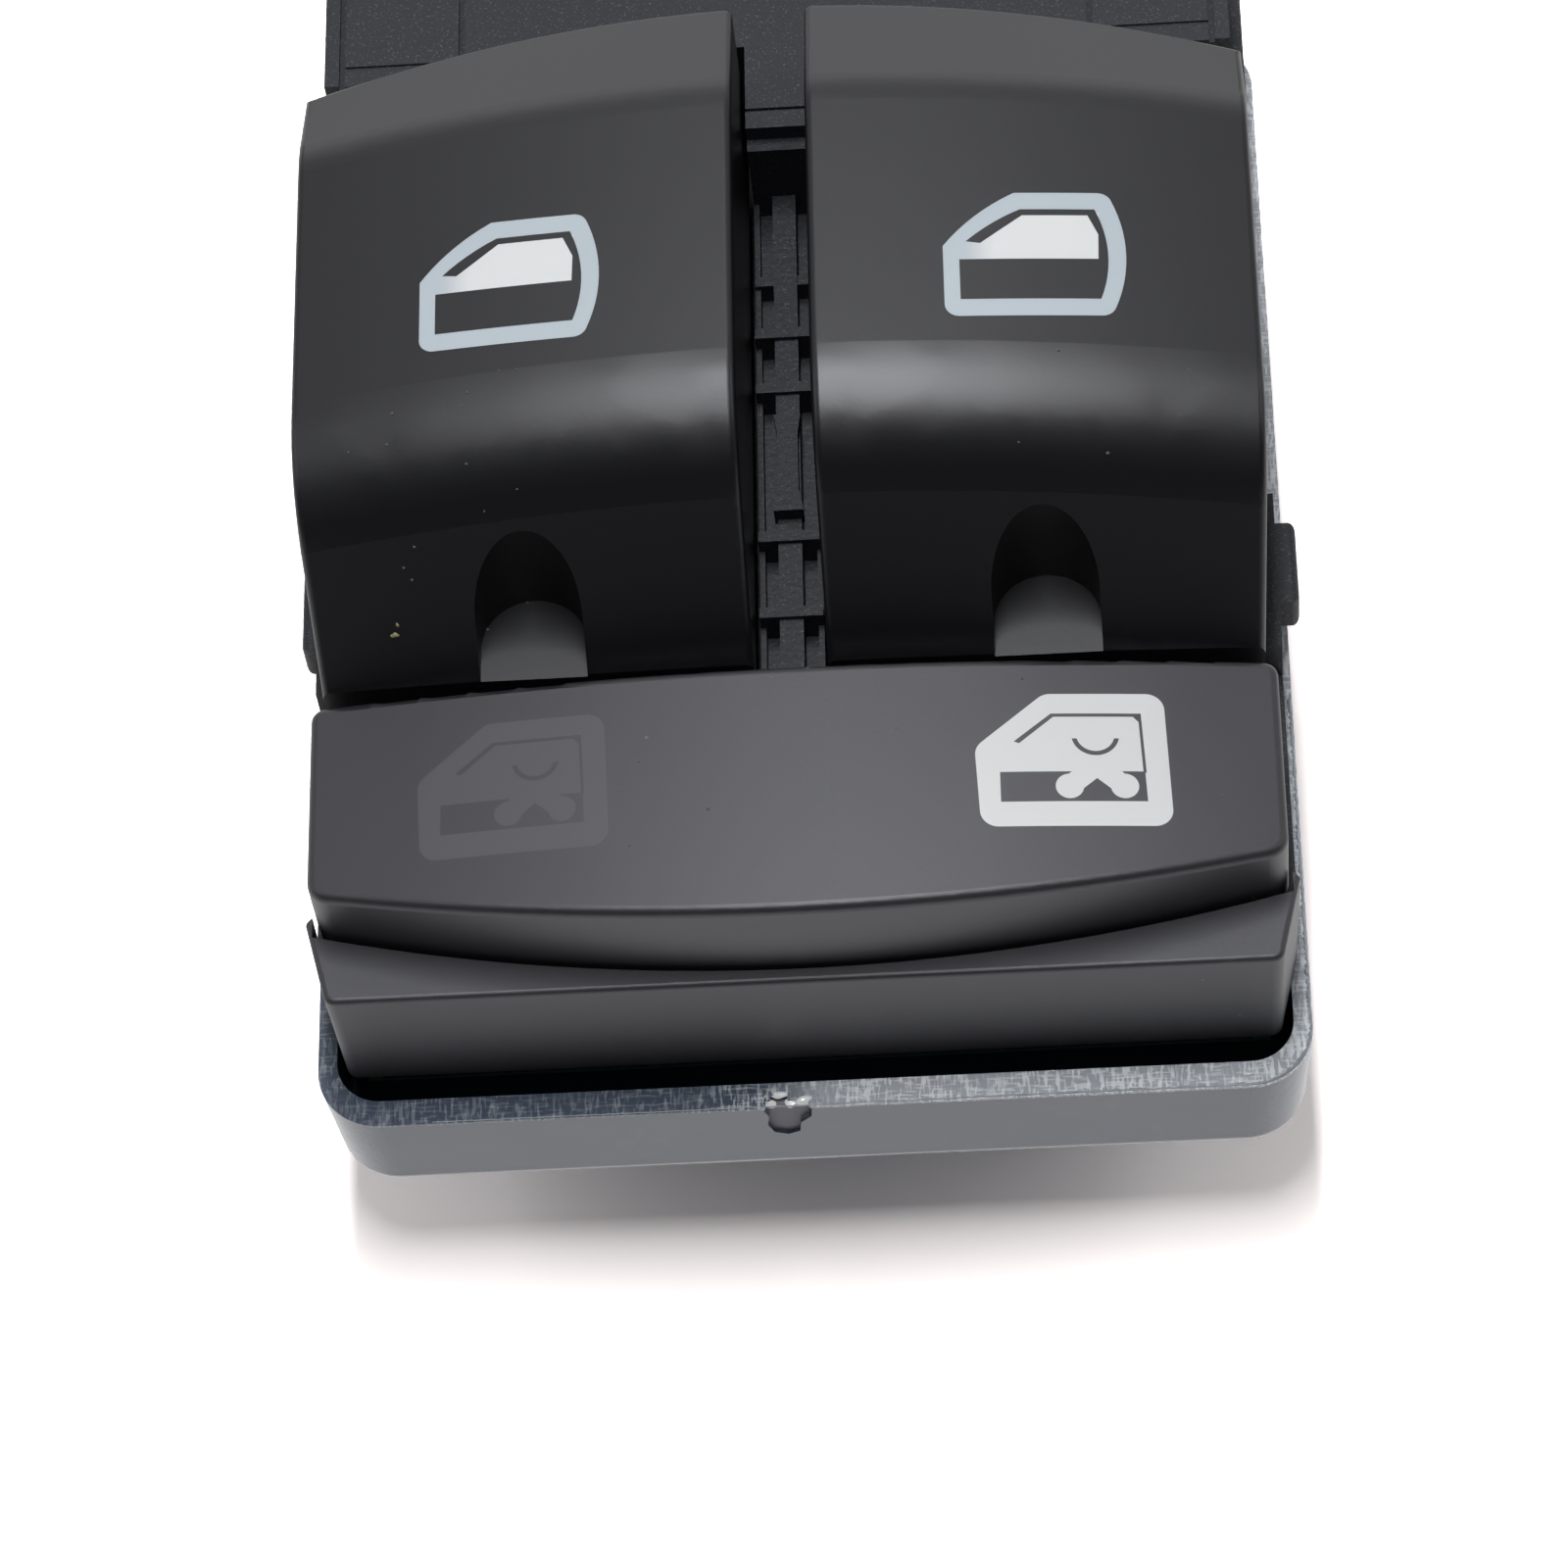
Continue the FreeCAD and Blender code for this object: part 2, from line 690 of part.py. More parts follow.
def make_housing():
    """The frame: skirt in the tray, platform, side ledges with catches, pivot pillars,
    plunger guides, centre channel and the grained far deck."""
    inner = tray_half - tray_side_wall - clear
    near = along(0.65)
    far = along(tray_far) - tray_front_wall - clear
    low = rim - 3.0
    outside = box("skirt_outer", -inner, inner, near, far, low, platform_bottom + 0.1)
    parts = [
        cut("skirt_ring",
            round_edges("skirt_round", outside, tray_corner - tray_side_wall - clear, upright),
            box("skirt_inner", -inner + wall, inner - wall, near + wall, far - wall,
                low - 1, platform_bottom + 1)),
        box("platform", -inner, inner, near, far, platform_bottom, platform_top),
    ]
    # Side ledges beside the rockers with their catches, and lower ones beside the bar
    for sx in (-1, 1):
        lo, hi = (-ledge_half, -half_width + wall) if sx < 0 else (half_width - wall, ledge_half)
        parts.append(box("ledge_high_%d" % sx, lo, hi, along(tab_y - 7.7), along(tab_y + 3.7),
                         rim + 0.3, bezel_top - 1.0))
        parts.append(box("ledge_low_%d" % sx, lo, hi, along(ear_y + 1.1), along(tab_y - 7.6),
                         rim + 0.3, platform_bottom + 0.4))
        parts.append(box("ledge_far_%d" % sx, lo, hi, along(deck_near - 3.9), along(deck_far),
                         rim + 0.3, platform_top))
        # Upstands inside the rockers' skirts
        lo, hi = half_width - 3.1, half_width - 2.3
        lo, hi = (-hi, -lo) if sx < 0 else (lo, hi)
        back_y = far_edge - far_bulge - 3.0
        parts.append(box("upstand_side_%d" % sx, lo, hi, along(lip + 3.0), along(back_y),
                         platform_top - 0.2, pivot_z - 3.3))
        lo, hi = gap_half + 3.1, half_width - 2.3
        lo, hi = (-hi, -lo) if sx < 0 else (lo, hi)
        parts.append(box("upstand_back_%d" % sx, lo, hi, along(back_y - 0.8), along(back_y),
                         platform_top - 0.2, pivot_z - 3.3))
        x0, x1 = (-ledge_half - tab_reach, -ledge_half + 0.5) if sx < 0 else (
            ledge_half - 0.5, ledge_half + tab_reach)
        catch = box("catch_block_%d" % sx, x0, x1, along(tab_y - tab_length / 2),
                    along(tab_y + tab_length / 2), bezel_top - 6.4, bezel_top - 3.4)
        outer = (ledge_half + tab_reach).value - 0.05
        parts.append(round_edges("catch_%d" % sx, catch, 0.5,
                                 lambda e, o=outer: abs(mid(e).x) > o))

    # Pivot pillars and plunger guides
    for sx in (-1, 1):
        side = "left" if sx < 0 else "right"
        for tag, a in (("inner", inner_pillar), ("outer", outer_pillar)):
            b = a + pillar_width
            lo, hi = (a, b) if sx > 0 else (-b, -a)
            stand = box("pillar_%s_%s" % (side, tag), lo, hi, along(pivot_y - 3.0),
                        along(pivot_y + 3.0), platform_top - 0.2, pivot_z)
            cap = rod("pillar_cap_%s_%s" % (side, tag), lo, along(pivot_y), pivot_z, 3.0,
                      b - a, axis="x")
            bore = rod("pillar_bore_%s_%s" % (side, tag), lo - 1, along(pivot_y), pivot_z,
                       pin_radius + 0.01, b - a + 2, axis="x")
            parts.append(cut("pillar_done_%s_%s" % (side, tag),
                             fuse("pillar_blank_%s_%s" % (side, tag), stand, cap), bore))
        for sign in (-1, 1):
            y = along(pivot_y + plunger_arm * sign)
            parts.append(rod("guide_%s_%d" % (side, sign), plunger_x * sx, y,
                             platform_bottom - 3.0, plunger_radius + 1.2, 9.0))
    parts.append(rod("bar_guide", 0, along(bar_stem_y), platform_bottom - 3.0, 3.8, 6.0))

    # Bosses that take the case screws
    for tag, x, y in case_screw_places():
        parts.append(rod("boss_" + tag, x, y, tray_bottom + tray_floor + 0.02, 2.9,
                         platform_bottom - tray_bottom - tray_floor + 0.2))

    parts += make_channel()
    parts += make_deck()

    tools = []
    for sx in (-1, 1):
        for sign in (-1, 1):
            tools.append(rod("guide_bore_%d_%d" % (sx, sign), plunger_x * sx,
                             along(pivot_y + plunger_arm * sign), platform_bottom - 4,
                             plunger_radius + slide_fit, 14))
    for tag, x, y in case_screw_places():
        tools.append(rod("boss_bore_" + tag, x, y, tray_bottom, 1.35, rim - tray_bottom - 0.5))
    for tag, x, y in lamp_places():
        tools.append(box("guide_window_" + tag, x - 2.4, x + 2.4, along(y - 1.7), along(y + 1.7),
                         platform_bottom - 1, platform_top + 1))
    tools.append(rod("bar_guide_bore", 0, along(bar_stem_y), platform_bottom - 4,
                     2.5 + slide_fit, 12))
    # Corners cleared for the bezel's ears
    for sx in (-1, 1):
        lo, hi = bezel_half - bezel_wall - clear, ear_half + 1
        lo, hi = (-hi, -lo) if sx < 0 else (lo, hi)
        tools.append(box("ear_space_%d" % sx, lo, hi, along(-1), along(ear_y + 0.45) + clear,
                         tray_bottom + 2, bezel_top))
    return node("upper_housing", cut("housing_cut", fuse("housing_blank", *parts), *tools))


def make_channel():
    """Floor, long rib, cross bars and the waisted pivot bar between the rockers."""
    top = bar_top - channel_drop
    floor = top - 2.2
    half = stem_half
    start = along(lip + 0.7)
    end = along(stem_near + 1)
    parts = [
        box("channel_floor", -half, half, start, end, platform_top - 0.2, floor),
        box("channel_rib", -0.75, 0.75, start, end, floor - 0.2, top),
    ]
    for i, sx in enumerate((-1, 1)):
        lo, hi = (-half, -half + 0.35) if sx < 0 else (half - 0.35, half)
        parts.append(box("channel_side_%d" % i, lo, hi, start, end, floor - 0.2, top - 0.9))
    for i, setback in enumerate((4.3, 9.9, 21.1, 25.3)):
        y = lip + setback
        parts.append(box("channel_bar_%d" % i, -half, half, along(y), along(y + 0.75),
                         floor - 0.2, top + 0.35))
    parts.append(box("channel_tie", -half, half, along(stem_near - 7.6), along(stem_near - 6.9),
                     floor - 0.2, top - 0.5))
    body = new_body("waisted_body")
    plan = sketch_on(body, "waisted_outline", "XY_Plane", top - 0.5)
    near, far = along(lip + 11.7), along(lip + 18.9)
    draw(plan, [(-0.95, near), (0.95, near), (0.65, near + 1.6), (0.65, far - 1.4),
                (0.85, far), (-0.85, far), (-0.65, far - 1.4), (-0.65, near + 1.6)])
    pad(body, "waisted_bar", plan, 1.6)
    parts.append(body)
    return parts


def make_deck():
    """The grained T-shaped deck beyond the rockers, with rails and groove lines."""
    far = along(deck_far)
    near = along(deck_near)
    base = platform_top - 0.2
    shell = cut("deck_shell",
                fuse("deck_blank",
                     box("deck_left", -deck_half, -panel_half, near, far, base, deck_top),
                     box("deck_right", panel_half, deck_half, near, far, base, deck_top),
                     box("deck_middle", -panel_half - 0.1, panel_half + 0.1,
                         along(panel_near), far, base, deck_top),
                     box("deck_stem", -stem_half, stem_half, along(stem_near),
                         along(panel_near) + 1, base, deck_top)),
                box("deck_hollow", -deck_half + wall, deck_half - wall,
                    along(panel_near) + wall, far - wall, base - 1, deck_top - 1.8))
    depth = groove
    cuts = []
    for sx in (-1, 1):
        for tag, x in (("rail", deck_half - rail), ("panel", panel_half)):
            centre = x * sx
            cuts.append(box("groove_%s_%d" % (tag, sx), centre - groove / 2, centre + groove / 2,
                            near - 1, far + 1, deck_top - depth, deck_top + 1))
        lo, hi = ((-deck_half + rail, -panel_half) if sx < 0 else (panel_half, deck_half - rail))
        cuts.append(box("groove_cross_%d" % sx, lo, hi, near + 1.35, near + 1.5,
                        deck_top - 0.15, deck_top + 1))
        cuts.append(box("flat_step_%d" % sx, lo, hi, near - 1, near + 1.36,
                        deck_top - 0.1, deck_top + 1))
    cuts.append(box("groove_stem", -stem_half - 1, stem_half + 1, along(stem_near + 1.3),
                    along(stem_near + 1.55), deck_top - 0.25, deck_top + 1))
    deck = cut("deck_cut", shell, *cuts)
    lips = box("deck_lip", -stem_half, stem_half, along(stem_near - 0.9), along(stem_near + 0.4),
               platform_top - 0.2, deck_top - 1.3)
    return [deck, lips]


# Front bezel

def bar_outline(grow):
    """Plan outline of the lock bar, grown on all sides."""
    grow = dim(grow)
    half = bar_half + grow
    near_end = along(bar_bulge) - grow
    far_end = along(bar_far) + grow
    chord = half
    radius = (chord * chord + bar_bulge * bar_bulge) / (2 * bar_bulge)
    points = [(-half, near_end), (half, near_end), (half, far_end), (-half, far_end)]
    return points, {0: (radius, 1)}


def make_bezel():
    """The satin plinth in front of the bar, with an ear at each side."""
    body = new_body("bezel_body")
    front = along(-bezel_front)
    ear = along(ear_y)
    plan = sketch_on(body, "bezel_outline", "XY_Plane", bezel_top)
    draw(plan, [(-bezel_half, front), (bezel_half, front), (ear_half, ear),
                (ear_half - 0.5, ear + 0.45), (-ear_half + 0.5, ear + 0.45), (-ear_half, ear)])
    block = pad(body, "bezel_block", plan, bezel_height, down=True, taper=-1.2)
    soft = fillet(body, "bezel_soft_corners", block, 0.8,
                  lambda e: steep(e) and mid(e).y < front.value + 1)
    top = bezel_top.value - 0.01
    soft = fillet(body, "bezel_soft_edge", soft, 0.35,
                  lambda e: e.BoundBox.ZMin > top and mid(e).y < front.value + 3)
    body.Tip = soft

    opening = new_body("bezel_opening_body")
    hole = sketch_on(opening, "bezel_opening_outline", "XY_Plane",
                     bezel_top - bar_skirt - bar_travel - clear)
    points, bends = bar_outline(0.25)
    draw(hole, points, bends)
    pad(opening, "bezel_opening", hole, 8.0)
    inner = bezel_half - bezel_wall
    hollow = box("bezel_hollow", -inner, inner, front + bezel_wall, ear + 2,
                 bezel_bottom - 1, bezel_top - bar_skirt)
    shell = cut("bezel_shell", body, opening, hollow)
    feet = []
    for sx in (-1, 1):
        foot_x = (bezel_half - 5.4) * sx
        feet.append(box("bezel_foot_%d" % sx, foot_x - 1.5, foot_x + 1.5,
                        front + bezel_wall - 0.1, along(1.4), platform_top, bezel_top - bar_skirt + 0.1))
    return node("front_bezel", fuse("bezel_fused", shell, *feet))


# Lock bar

def crown_block(name, drop, top, lower=0):
    """A wide cylinder along Y whose top line lies at a height: what is under a crown."""
    drop = dim(drop)
    radius = (half_width * half_width + drop * drop) / (2 * drop) - lower
    return rod(name, 0, along(-20), dim(top) - lower - radius, radius, 120, axis="y")


def make_bar():
    body = new_body("bar_body")
    bottom = bezel_top - bar_skirt
    plan = sketch_on(body, "bar_plan", "XY_Plane", bottom)
    points, bends = bar_outline(0)
    draw(plan, points, bends)
    prism = pad(body, "bar_prism", plan, bar_rise + bar_skirt + 1)
    body.Tip = prism
    prism = fillet(body, "bar_corners", prism, bar_corner,
                   lambda e: upright(e) and mid(e).y < along(10).value)
    prism = fillet(body, "bar_far_corners", prism, bar_round * 1.5,
                   lambda e: upright(e) and mid(e).y > along(12).value)
    reach = half_width + 2
    fall = bar_crown * reach * reach / (half_width * half_width)
    above = sketch_on(body, "bar_crown_outline", "XZ_Plane")
    draw(above, [(-reach, bar_top - fall), (reach, bar_top - fall), (reach, bar_top + 3),
                 (-reach, bar_top + 3)], {0: ((reach * reach + fall * fall) / (2 * fall), -1)})
    crowned = pocket(body, "bar_crown_cut", above, 200)
    crowned.Midplane = True
    doc.recompute()
    floor = bottom.value + 4
    outer = body
    body.Tip = fillet(body, "bar_soft_edges", crowned, bar_round,
                      lambda e: not upright(e) and e.BoundBox.ZMin > floor)
    inside = new_body("bar_inside_body")
    plan = sketch_on(inside, "bar_inside_plan", "XY_Plane", bottom - 1)
    points, bends = bar_outline(-bar_skirt)
    draw(plan, points, bends)
    pad(inside, "bar_inside", plan, bar_rise + bar_skirt + 2)
    hollow = common("bar_hollow", inside,
                    crown_block("bar_hollow_crown", bar_crown, bar_top, lower=2.0))
    shell = cut("bar_shell", outer, hollow)
    doc.recompute()

    symbols = []
    prisms = []
    for side, sx in (("left", -1), ("right", 1)):
        prism = lock_symbol(side, lock_x * sx)
        prisms.append(prism)
        top = common("lock_symbol_%s_solid" % side, prism, outer)
        symbols.append(top)
        node("lock_symbol_" + side, top)
    node("lock_bar", cut("bar_cut", shell, *prisms))

    stem = rod("bar_stem", 0, along(bar_stem_y), dome_top + 1.4, 2.5,
               bar_top - 2.0 - 0.02 - dome_top - 1.4)
    foot = rod("bar_stem_foot", 0, along(bar_stem_y), dome_top + 1.4, 3.3, 1.2)
    node("lock_bar_plunger", fuse("bar_plunger_fused", stem, foot))

    coils = []
    for sx in (-1, 1):
        coils.append(make_coil("bar_coil_%d" % sx, spring_x * sx, along(bar_stem_y + 0.5),
                               platform_top + 0.4, bar_top - bar_crown * 0.82 - 2.0 - 0.36))
    node("lock_bar_springs", group("bar_coil_group", coils))


def make_coil(name, x, y, z0, z1):
    """A coil spring between two heights."""
    body = new_body(name + "_body")
    wire = sketch_on(body, name + "_wire", "XZ_Plane")
    centre = FreeCAD.Vector(spring_radius.value, 0, 0)
    circle = wire.addGeometry(Part.Circle(centre, FreeCAD.Vector(0, 0, 1), wire_radius.value))
    number = wire.addConstraint(Sketcher.Constraint("Radius", circle, wire_radius.value))
    wire.setExpression("Constraints[%d]" % number, wire_radius.text)
    number = wire.addConstraint(Sketcher.Constraint("DistanceX", -1, 1, circle, 3, spring_radius.value))
    wire.setExpression("Constraints[%d]" % number, spring_radius.text)
    wire.addConstraint(Sketcher.Constraint("PointOnObject", circle, 3, -1))
    helix = body.newObject("PartDesign::AdditiveHelix", name + "_helix")
    helix.Profile = wire
    helix.ReferenceAxis = (wire, ["V_Axis"])
    helix.Mode = 2
    helix.Turns = 5
    helix.setExpression("Height", (dim(z1) - z0).text)
    place(body, x, y, z0)
    return body


# Pictograms

def corner_near(points, reach=0.3):
    """Test for upright edges that stand at one of the given places."""
    places = [(dim(u).value, dim(v).value) for u, v in points]

    def test(edge):
        if not upright(edge):
            return False
        m = mid(edge)
        return any(math.hypot(m.x - u, m.y - v) < reach for u, v in places)
    return test


def window_symbol(side, centre_x):
    """Upright prism of a car door outline with its window."""
    w = symbol_width
    d = symbol_depth
    x = dim(centre_x) - w / 2
    y = along(pivot_y + 0.1)
    z = plateau - crown * 0.56 - inlay
    body = new_body("window_symbol_%s_body" % side)
    plan = sketch_on(body, "window_symbol_%s_plan" % side, "XY_Plane", z)
    outer = [(x, y), (x + w * 0.91, y), (x + w * 0.91, y + d), (x + w * 0.40, y + d), (x, y + d * 0.57)]
    draw(plan, outer, {1: (w * 0.94, 1), 3: (w * 1.2, 1)})
    block = pad(body, "window_symbol_%s_block" % side, plan, 4)
    block = fillet(body, "window_symbol_%s_soft" % side, block, 0.9,
                   corner_near(outer[:3]))
    hole = sketch_on(body, "window_symbol_%s_hole" % side, "XY_Plane", z + 4)
    gap = w * 0.055
    line_u = w * 0.088
    line_v = d * 0.135
    belt = y + d * 0.46
    pane_top = y + d * 0.815
    draw(hole, [(x + line_u, y + line_v), (x + w * 0.855, y + line_v),
                (x + w * 0.84, y + d - line_v), (x + w * 0.43, y + d - line_v),
                (x + w * 0.125, y + d * 0.605), (x + w * 0.205, y + d * 0.59),
                (x + w * 0.44, pane_top), (x + w * 0.80, pane_top),
                (x + w * 0.855, y + d * 0.66), (x + w * 0.85, belt), (x + line_u, belt)],
         {1: (w * 0.80, 1), 3: (w * 1.2, 1)})
    pocket(body, "window_symbol_%s_space" % side, hole, 4.1)
    body.Tip = body.Group[-1]
    return body


def lock_symbol(side, centre_x):
    """Upright prism of a door outline with a crossed figure in its window."""
    w = lock_width
    d = lock_depth
    x = dim(centre_x) - w / 2
    y = along(5.35)
    z = bar_top - bar_crown * 0.6 - inlay
    body = new_body("lock_symbol_%s_body" % side)
    plan = sketch_on(body, "lock_symbol_%s_plan" % side, "XY_Plane", z)
    outer = [(x + w * 0.02, y), (x + w, y), (x + w * 0.975, y + d), (x + w * 0.36, y + d),
             (x, y + d * 0.60)]
    draw(plan, outer)
    block = pad(body, "lock_symbol_%s_block" % side, plan, 4)
    block = fillet(body, "lock_symbol_%s_soft" % side, block, w * 0.095, corner_near(outer))
    panel = sketch_on(body, "lock_symbol_%s_panel" % side, "XY_Plane", z + 4)
    draw(panel, [(x + w * 0.125, y + d * 0.185), (x + w * 0.872, y + d * 0.185),
                 (x + w * 0.865, y + d * 0.41), (x + w * 0.125, y + d * 0.41)])
    pocket(body, "lock_symbol_%s_panel_space" % side, panel, 4.1)
    slit = sketch_on(body, "lock_symbol_%s_slit" % side, "XY_Plane", z + 4)
    ring = ((0.200, 0.640), (0.395, 0.850), (0.856, 0.850), (0.872, 0.400),
            (0.856, 0.400), (0.843, 0.785), (0.815, 0.825), (0.407, 0.825), (0.228, 0.626))
    draw(slit, [(x + w * u, y + d * v) for u, v in ring])
    pocket(body, "lock_symbol_%s_slit_space" % side, slit, 4.1)
    body.Tip = body.Group[-1]

    # The crossed figure: two legs with round ends, and the arc above them
    cx = x + w * 0.618
    cy = y + d * 0.455
    legs = []
    for i, sx in enumerate((-1, 1)):
        foot_x = cx + w * 0.140 * sx
        foot_y = y + d * 0.300
        legs.append(rod("lock_symbol_%s_foot_%d" % (side, i), foot_x, foot_y, z, w * 0.072, 4))
        leg = new_body("lock_symbol_%s_leg_body_%d" % (side, i))
        shape = sketch_on(leg, "lock_symbol_%s_leg_%d" % (side, i), "XY_Plane", z)
        across = w * 0.040
        draw(shape, [(cx - across, cy - across * sx), (foot_x - across, foot_y - across * sx),
                     (foot_x + across, foot_y + across * sx), (cx + across, cy + across * sx)])
        pad(leg, "lock_symbol_%s_leg_pad_%d" % (side, i), shape, 4)
        legs.append(leg)
    ring = cut("lock_symbol_%s_arc" % side,
               rod("lock_symbol_%s_arc_outer" % side, cx, y + d * 0.69, z - 0.5, w * 0.123, 5),
               rod("lock_symbol_%s_arc_inner" % side, cx, y + d * 0.69, z - 1, w * 0.098, 6),
               box("lock_symbol_%s_arc_side" % side, cx - 3, cx + 3, y + d * 0.66, y + d, z - 1, z + 5))
    whole = fuse("lock_symbol_%s_fused" % side, body, *legs)
    return cut("lock_symbol_%s_prism" % side, whole, ring)


# Rockers

def rocker_section(body, name, x, side):
    """Side profile of a rocker at a distance from the middle plane."""
    share = (dim(x) * x) / (half_width * half_width)
    fall = crown * share
    sketch = sketch_on(body, name, "YZ_Plane", dim(x) * side)
    back = along(far_edge - far_bulge * share)
    bend = along(crease - crease_bulge * share)
    top = plateau - fall
    low = bar_top - skirt_drop
    lip_z = bar_top - lip_drop - fall * 0.4
    # The roll starts level and turns down to the roll angle; the flat slope below it
    # meets the lip
    roll_start_z = top
    drop_all = top - lip_z
    arc_y = roll_radius * sine(roll_angle)
    arc_z = roll_radius * (1 - cosine(roll_angle))
    slope_y = (drop_all - arc_z) * cosine(roll_angle) / sine(roll_angle)
    start = along(lip) + slope_y + arc_y
    turn = crease_round * sine(far_angle / 2) / cosine(far_angle / 2)
    points = [(along(lip), low), (back, low), (back, top - far_drop),
              (bend + turn * cosine(far_angle), top - turn * sine(far_angle)), (bend - turn, top),
              (start, roll_start_z), (along(lip) + slope_y, top - arc_z), (along(lip), lip_z)]
    draw(sketch, points, {3: (crease_round, 1), 5: (roll_radius, 1)})
    return sketch


def make_rocker(side):
    """One rocker: lofted shell with roll, finger niche, bosses, pads and pictogram."""
    sx = -1 if side == "left" else 1
    body = new_body(side + "_rocker_body")
    stations = [gap_half, gap_half + (half_width - gap_half) / 3,
                gap_half + (half_width - gap_half) * 2 / 3, half_width]
    sections = [rocker_section(body, "%s_section_%d" % (side, i), x, sx)
                for i, x in enumerate(stations)]
    loft = body.newObject("PartDesign::AdditiveLoft", side + "_loft")
    loft.Profile = sections[0]
    loft.Sections = sections[1:]
    loft.Ruled = False
    body.Tip = loft
    doc.recompute()
    # Draft of the outer side wall, then soft edges around the top
    hinge_z = plateau - crown - 0.8
    low = bar_top - skirt_drop
    depth = hinge_z - low + 1
    foot = half_width - depth * sine(side_draft) / cosine(side_draft)
    wedge = sketch_on(body, side + "_draft_outline", "XZ_Plane")
    ring = [(half_width * sx, hinge_z), (foot * sx, low - 1), ((half_width + 2) * sx, low - 1),
            ((half_width + 2) * sx, hinge_z)]
    if sx < 0:
        ring.reverse()
    draw(wedge, ring)
    trim = pocket(body, side + "_draft", wedge, 200)
    trim.Midplane = True
    doc.recompute()
    high = bar_top.value + 1.5
    inner_x = gap_half.value + 0.05
    outer_x = half_width.value - 0.05
    back = along(far_edge - far_bulge - 0.4).value

    def rim_edge(edge):
        """True for the edges around the top face and down both sides of the roll."""
        m = mid(edge)
        if edge.BoundBox.ZMax < high:
            return False
        if edge.BoundBox.YMin > back and edge.BoundBox.ZMin > high:
            return edge.BoundBox.XLength > 5
        on_side = abs(m.x) < inner_x or abs(m.x) > outer_x
        return on_side and not upright(edge)

    soft = fillet(body, side + "_soft_edges", trim, edge_round, rim_edge)
    body.Tip = soft

    # Cavity below, which leaves a shell around the finger niche
    hollow = new_body(side + "_hollow_body")
    a = gap_half + wall
    b = half_width - wall - depth * sine(side_draft) / cosine(side_draft) + 0.35
    cave = sketch_on(hollow, side + "_hollow_profile", "YZ_Plane", a if sx > 0 else -b)
    edge_top = plateau - crown * 0.88
    draw(cave, [(along(lip + 2.0), low - 1), (along(far_edge - far_bulge * 0.88 - 1.7), low - 1),
                (along(far_edge - far_bulge * 0.88 - 1.7), edge_top - far_drop - rocker_roof),
                (along(crease - crease_bulge - 0.6), edge_top - rocker_roof),
                (along(lip + 13.4), edge_top - rocker_roof),
                (along(lip + 7.9), edge_top - rocker_roof - 3.5),
                (along(lip + 2.0), bar_top - lip_drop - 1.3)])
    pad(hollow, side + "_hollow", cave, b - a)
    nx = niche_x * sx
    reach = niche_radius + 1.1
    floor = bar_top - lip_drop - 0.45
    keep = box(side + "_niche_shell", nx - reach, nx + reach, along(lip - 1),
               along(niche_far) + 1.3, floor - niche_floor, plateau)
    cave_tool = cut(side + "_cave_tool", hollow, keep)
    niche = fuse(side + "_niche_tool",
                 rod(side + "_niche_round", nx, along(niche_far) - niche_radius, floor,
                     niche_radius, 20),
                 box(side + "_niche_slot", nx - niche_radius, nx + niche_radius,
                     along(lip - 2), along(niche_far) - niche_radius, floor, floor + 20))
    shell = cut(side + "_shell", body, cave_tool, niche)

    # Pivot bosses and the pads that press the plungers
    parts = []
    for tag, x0, x1 in (("inner", a - 0.3, inner_boss_end), ("outer", outer_boss_start, b + 0.3)):
        x0, x1 = (dim(x0), dim(x1)) if sx > 0 else (-dim(x1), -dim(x0))
        parts.append(rod("%s_boss_%s" % (side, tag), x0, along(pivot_y), pivot_z, 2.9,
                         x1 - x0, axis="x"))
        parts.append(box("%s_boss_web_%s" % (side, tag), x0, x1, along(pivot_y - 1.2),
                         along(pivot_y + 1.2), pivot_z, edge_top - rocker_roof + 0.4))
    for sign in (-1, 1):
        y = along(pivot_y + plunger_arm * sign)
        px = plunger_x * sx
        parts.append(rod("%s_pad_%d" % (side, sign), px - 1.4, y,
                         pivot_z + plunger_gap + 1.6, 1.6, 2.8, axis="x"))
        roof_z = edge_top - rocker_roof + 0.4 if sign > 0 else edge_top - rocker_roof - 3.0
        parts.append(box("%s_pad_web_%d" % (side, sign), px - 1.4, px + 1.4, y - 1.0, y + 1.0,
                         pivot_z + 1.8, roof_z))
    filled = fuse(side + "_filled", shell, *parts)
    x0 = pin_start if sx > 0 else -(pin_start + pin_length)
    bore = rod(side + "_bore", x0 - 0.1, along(pivot_y), pivot_z, pin_radius + pin_fit,
               pin_length + 0.2, axis="x")
    symbol = window_symbol(side, (niche_x + 0.3) * sx)
    node("%s_window_symbol" % side, common(side + "_window_solid", symbol, body))
    node("%s_rocker" % side, cut(side + "_rocker_cut", filled, bore, symbol))

    pin = rod(side + "_pin", x0, along(pivot_y), pivot_z, pin_radius, pin_length, axis="x")
    node("%s_pivot_pin" % side, pin)
    for sign, where in ((-1, "near"), (1, "far")):
        y = along(pivot_y + plunger_arm * sign)
        px = plunger_x * sx
        bottom = dome_top + 1.0
        stem = rod("%s_%s_stem" % (side, where), px, y, bottom, plunger_radius, pivot_z - bottom)
        foot = rod("%s_%s_foot" % (side, where), px, y, bottom, plunger_radius + 0.9, 1.3)
        node("%s_%s_plunger" % (side, where), fuse("%s_%s_plunger_fused" % (side, where), stem, foot))
    node("%s_light_guide" % side, light_guide(side + "_guide", nx, rocker_lamp_y,
                                                 plateau - crown - 2.8))


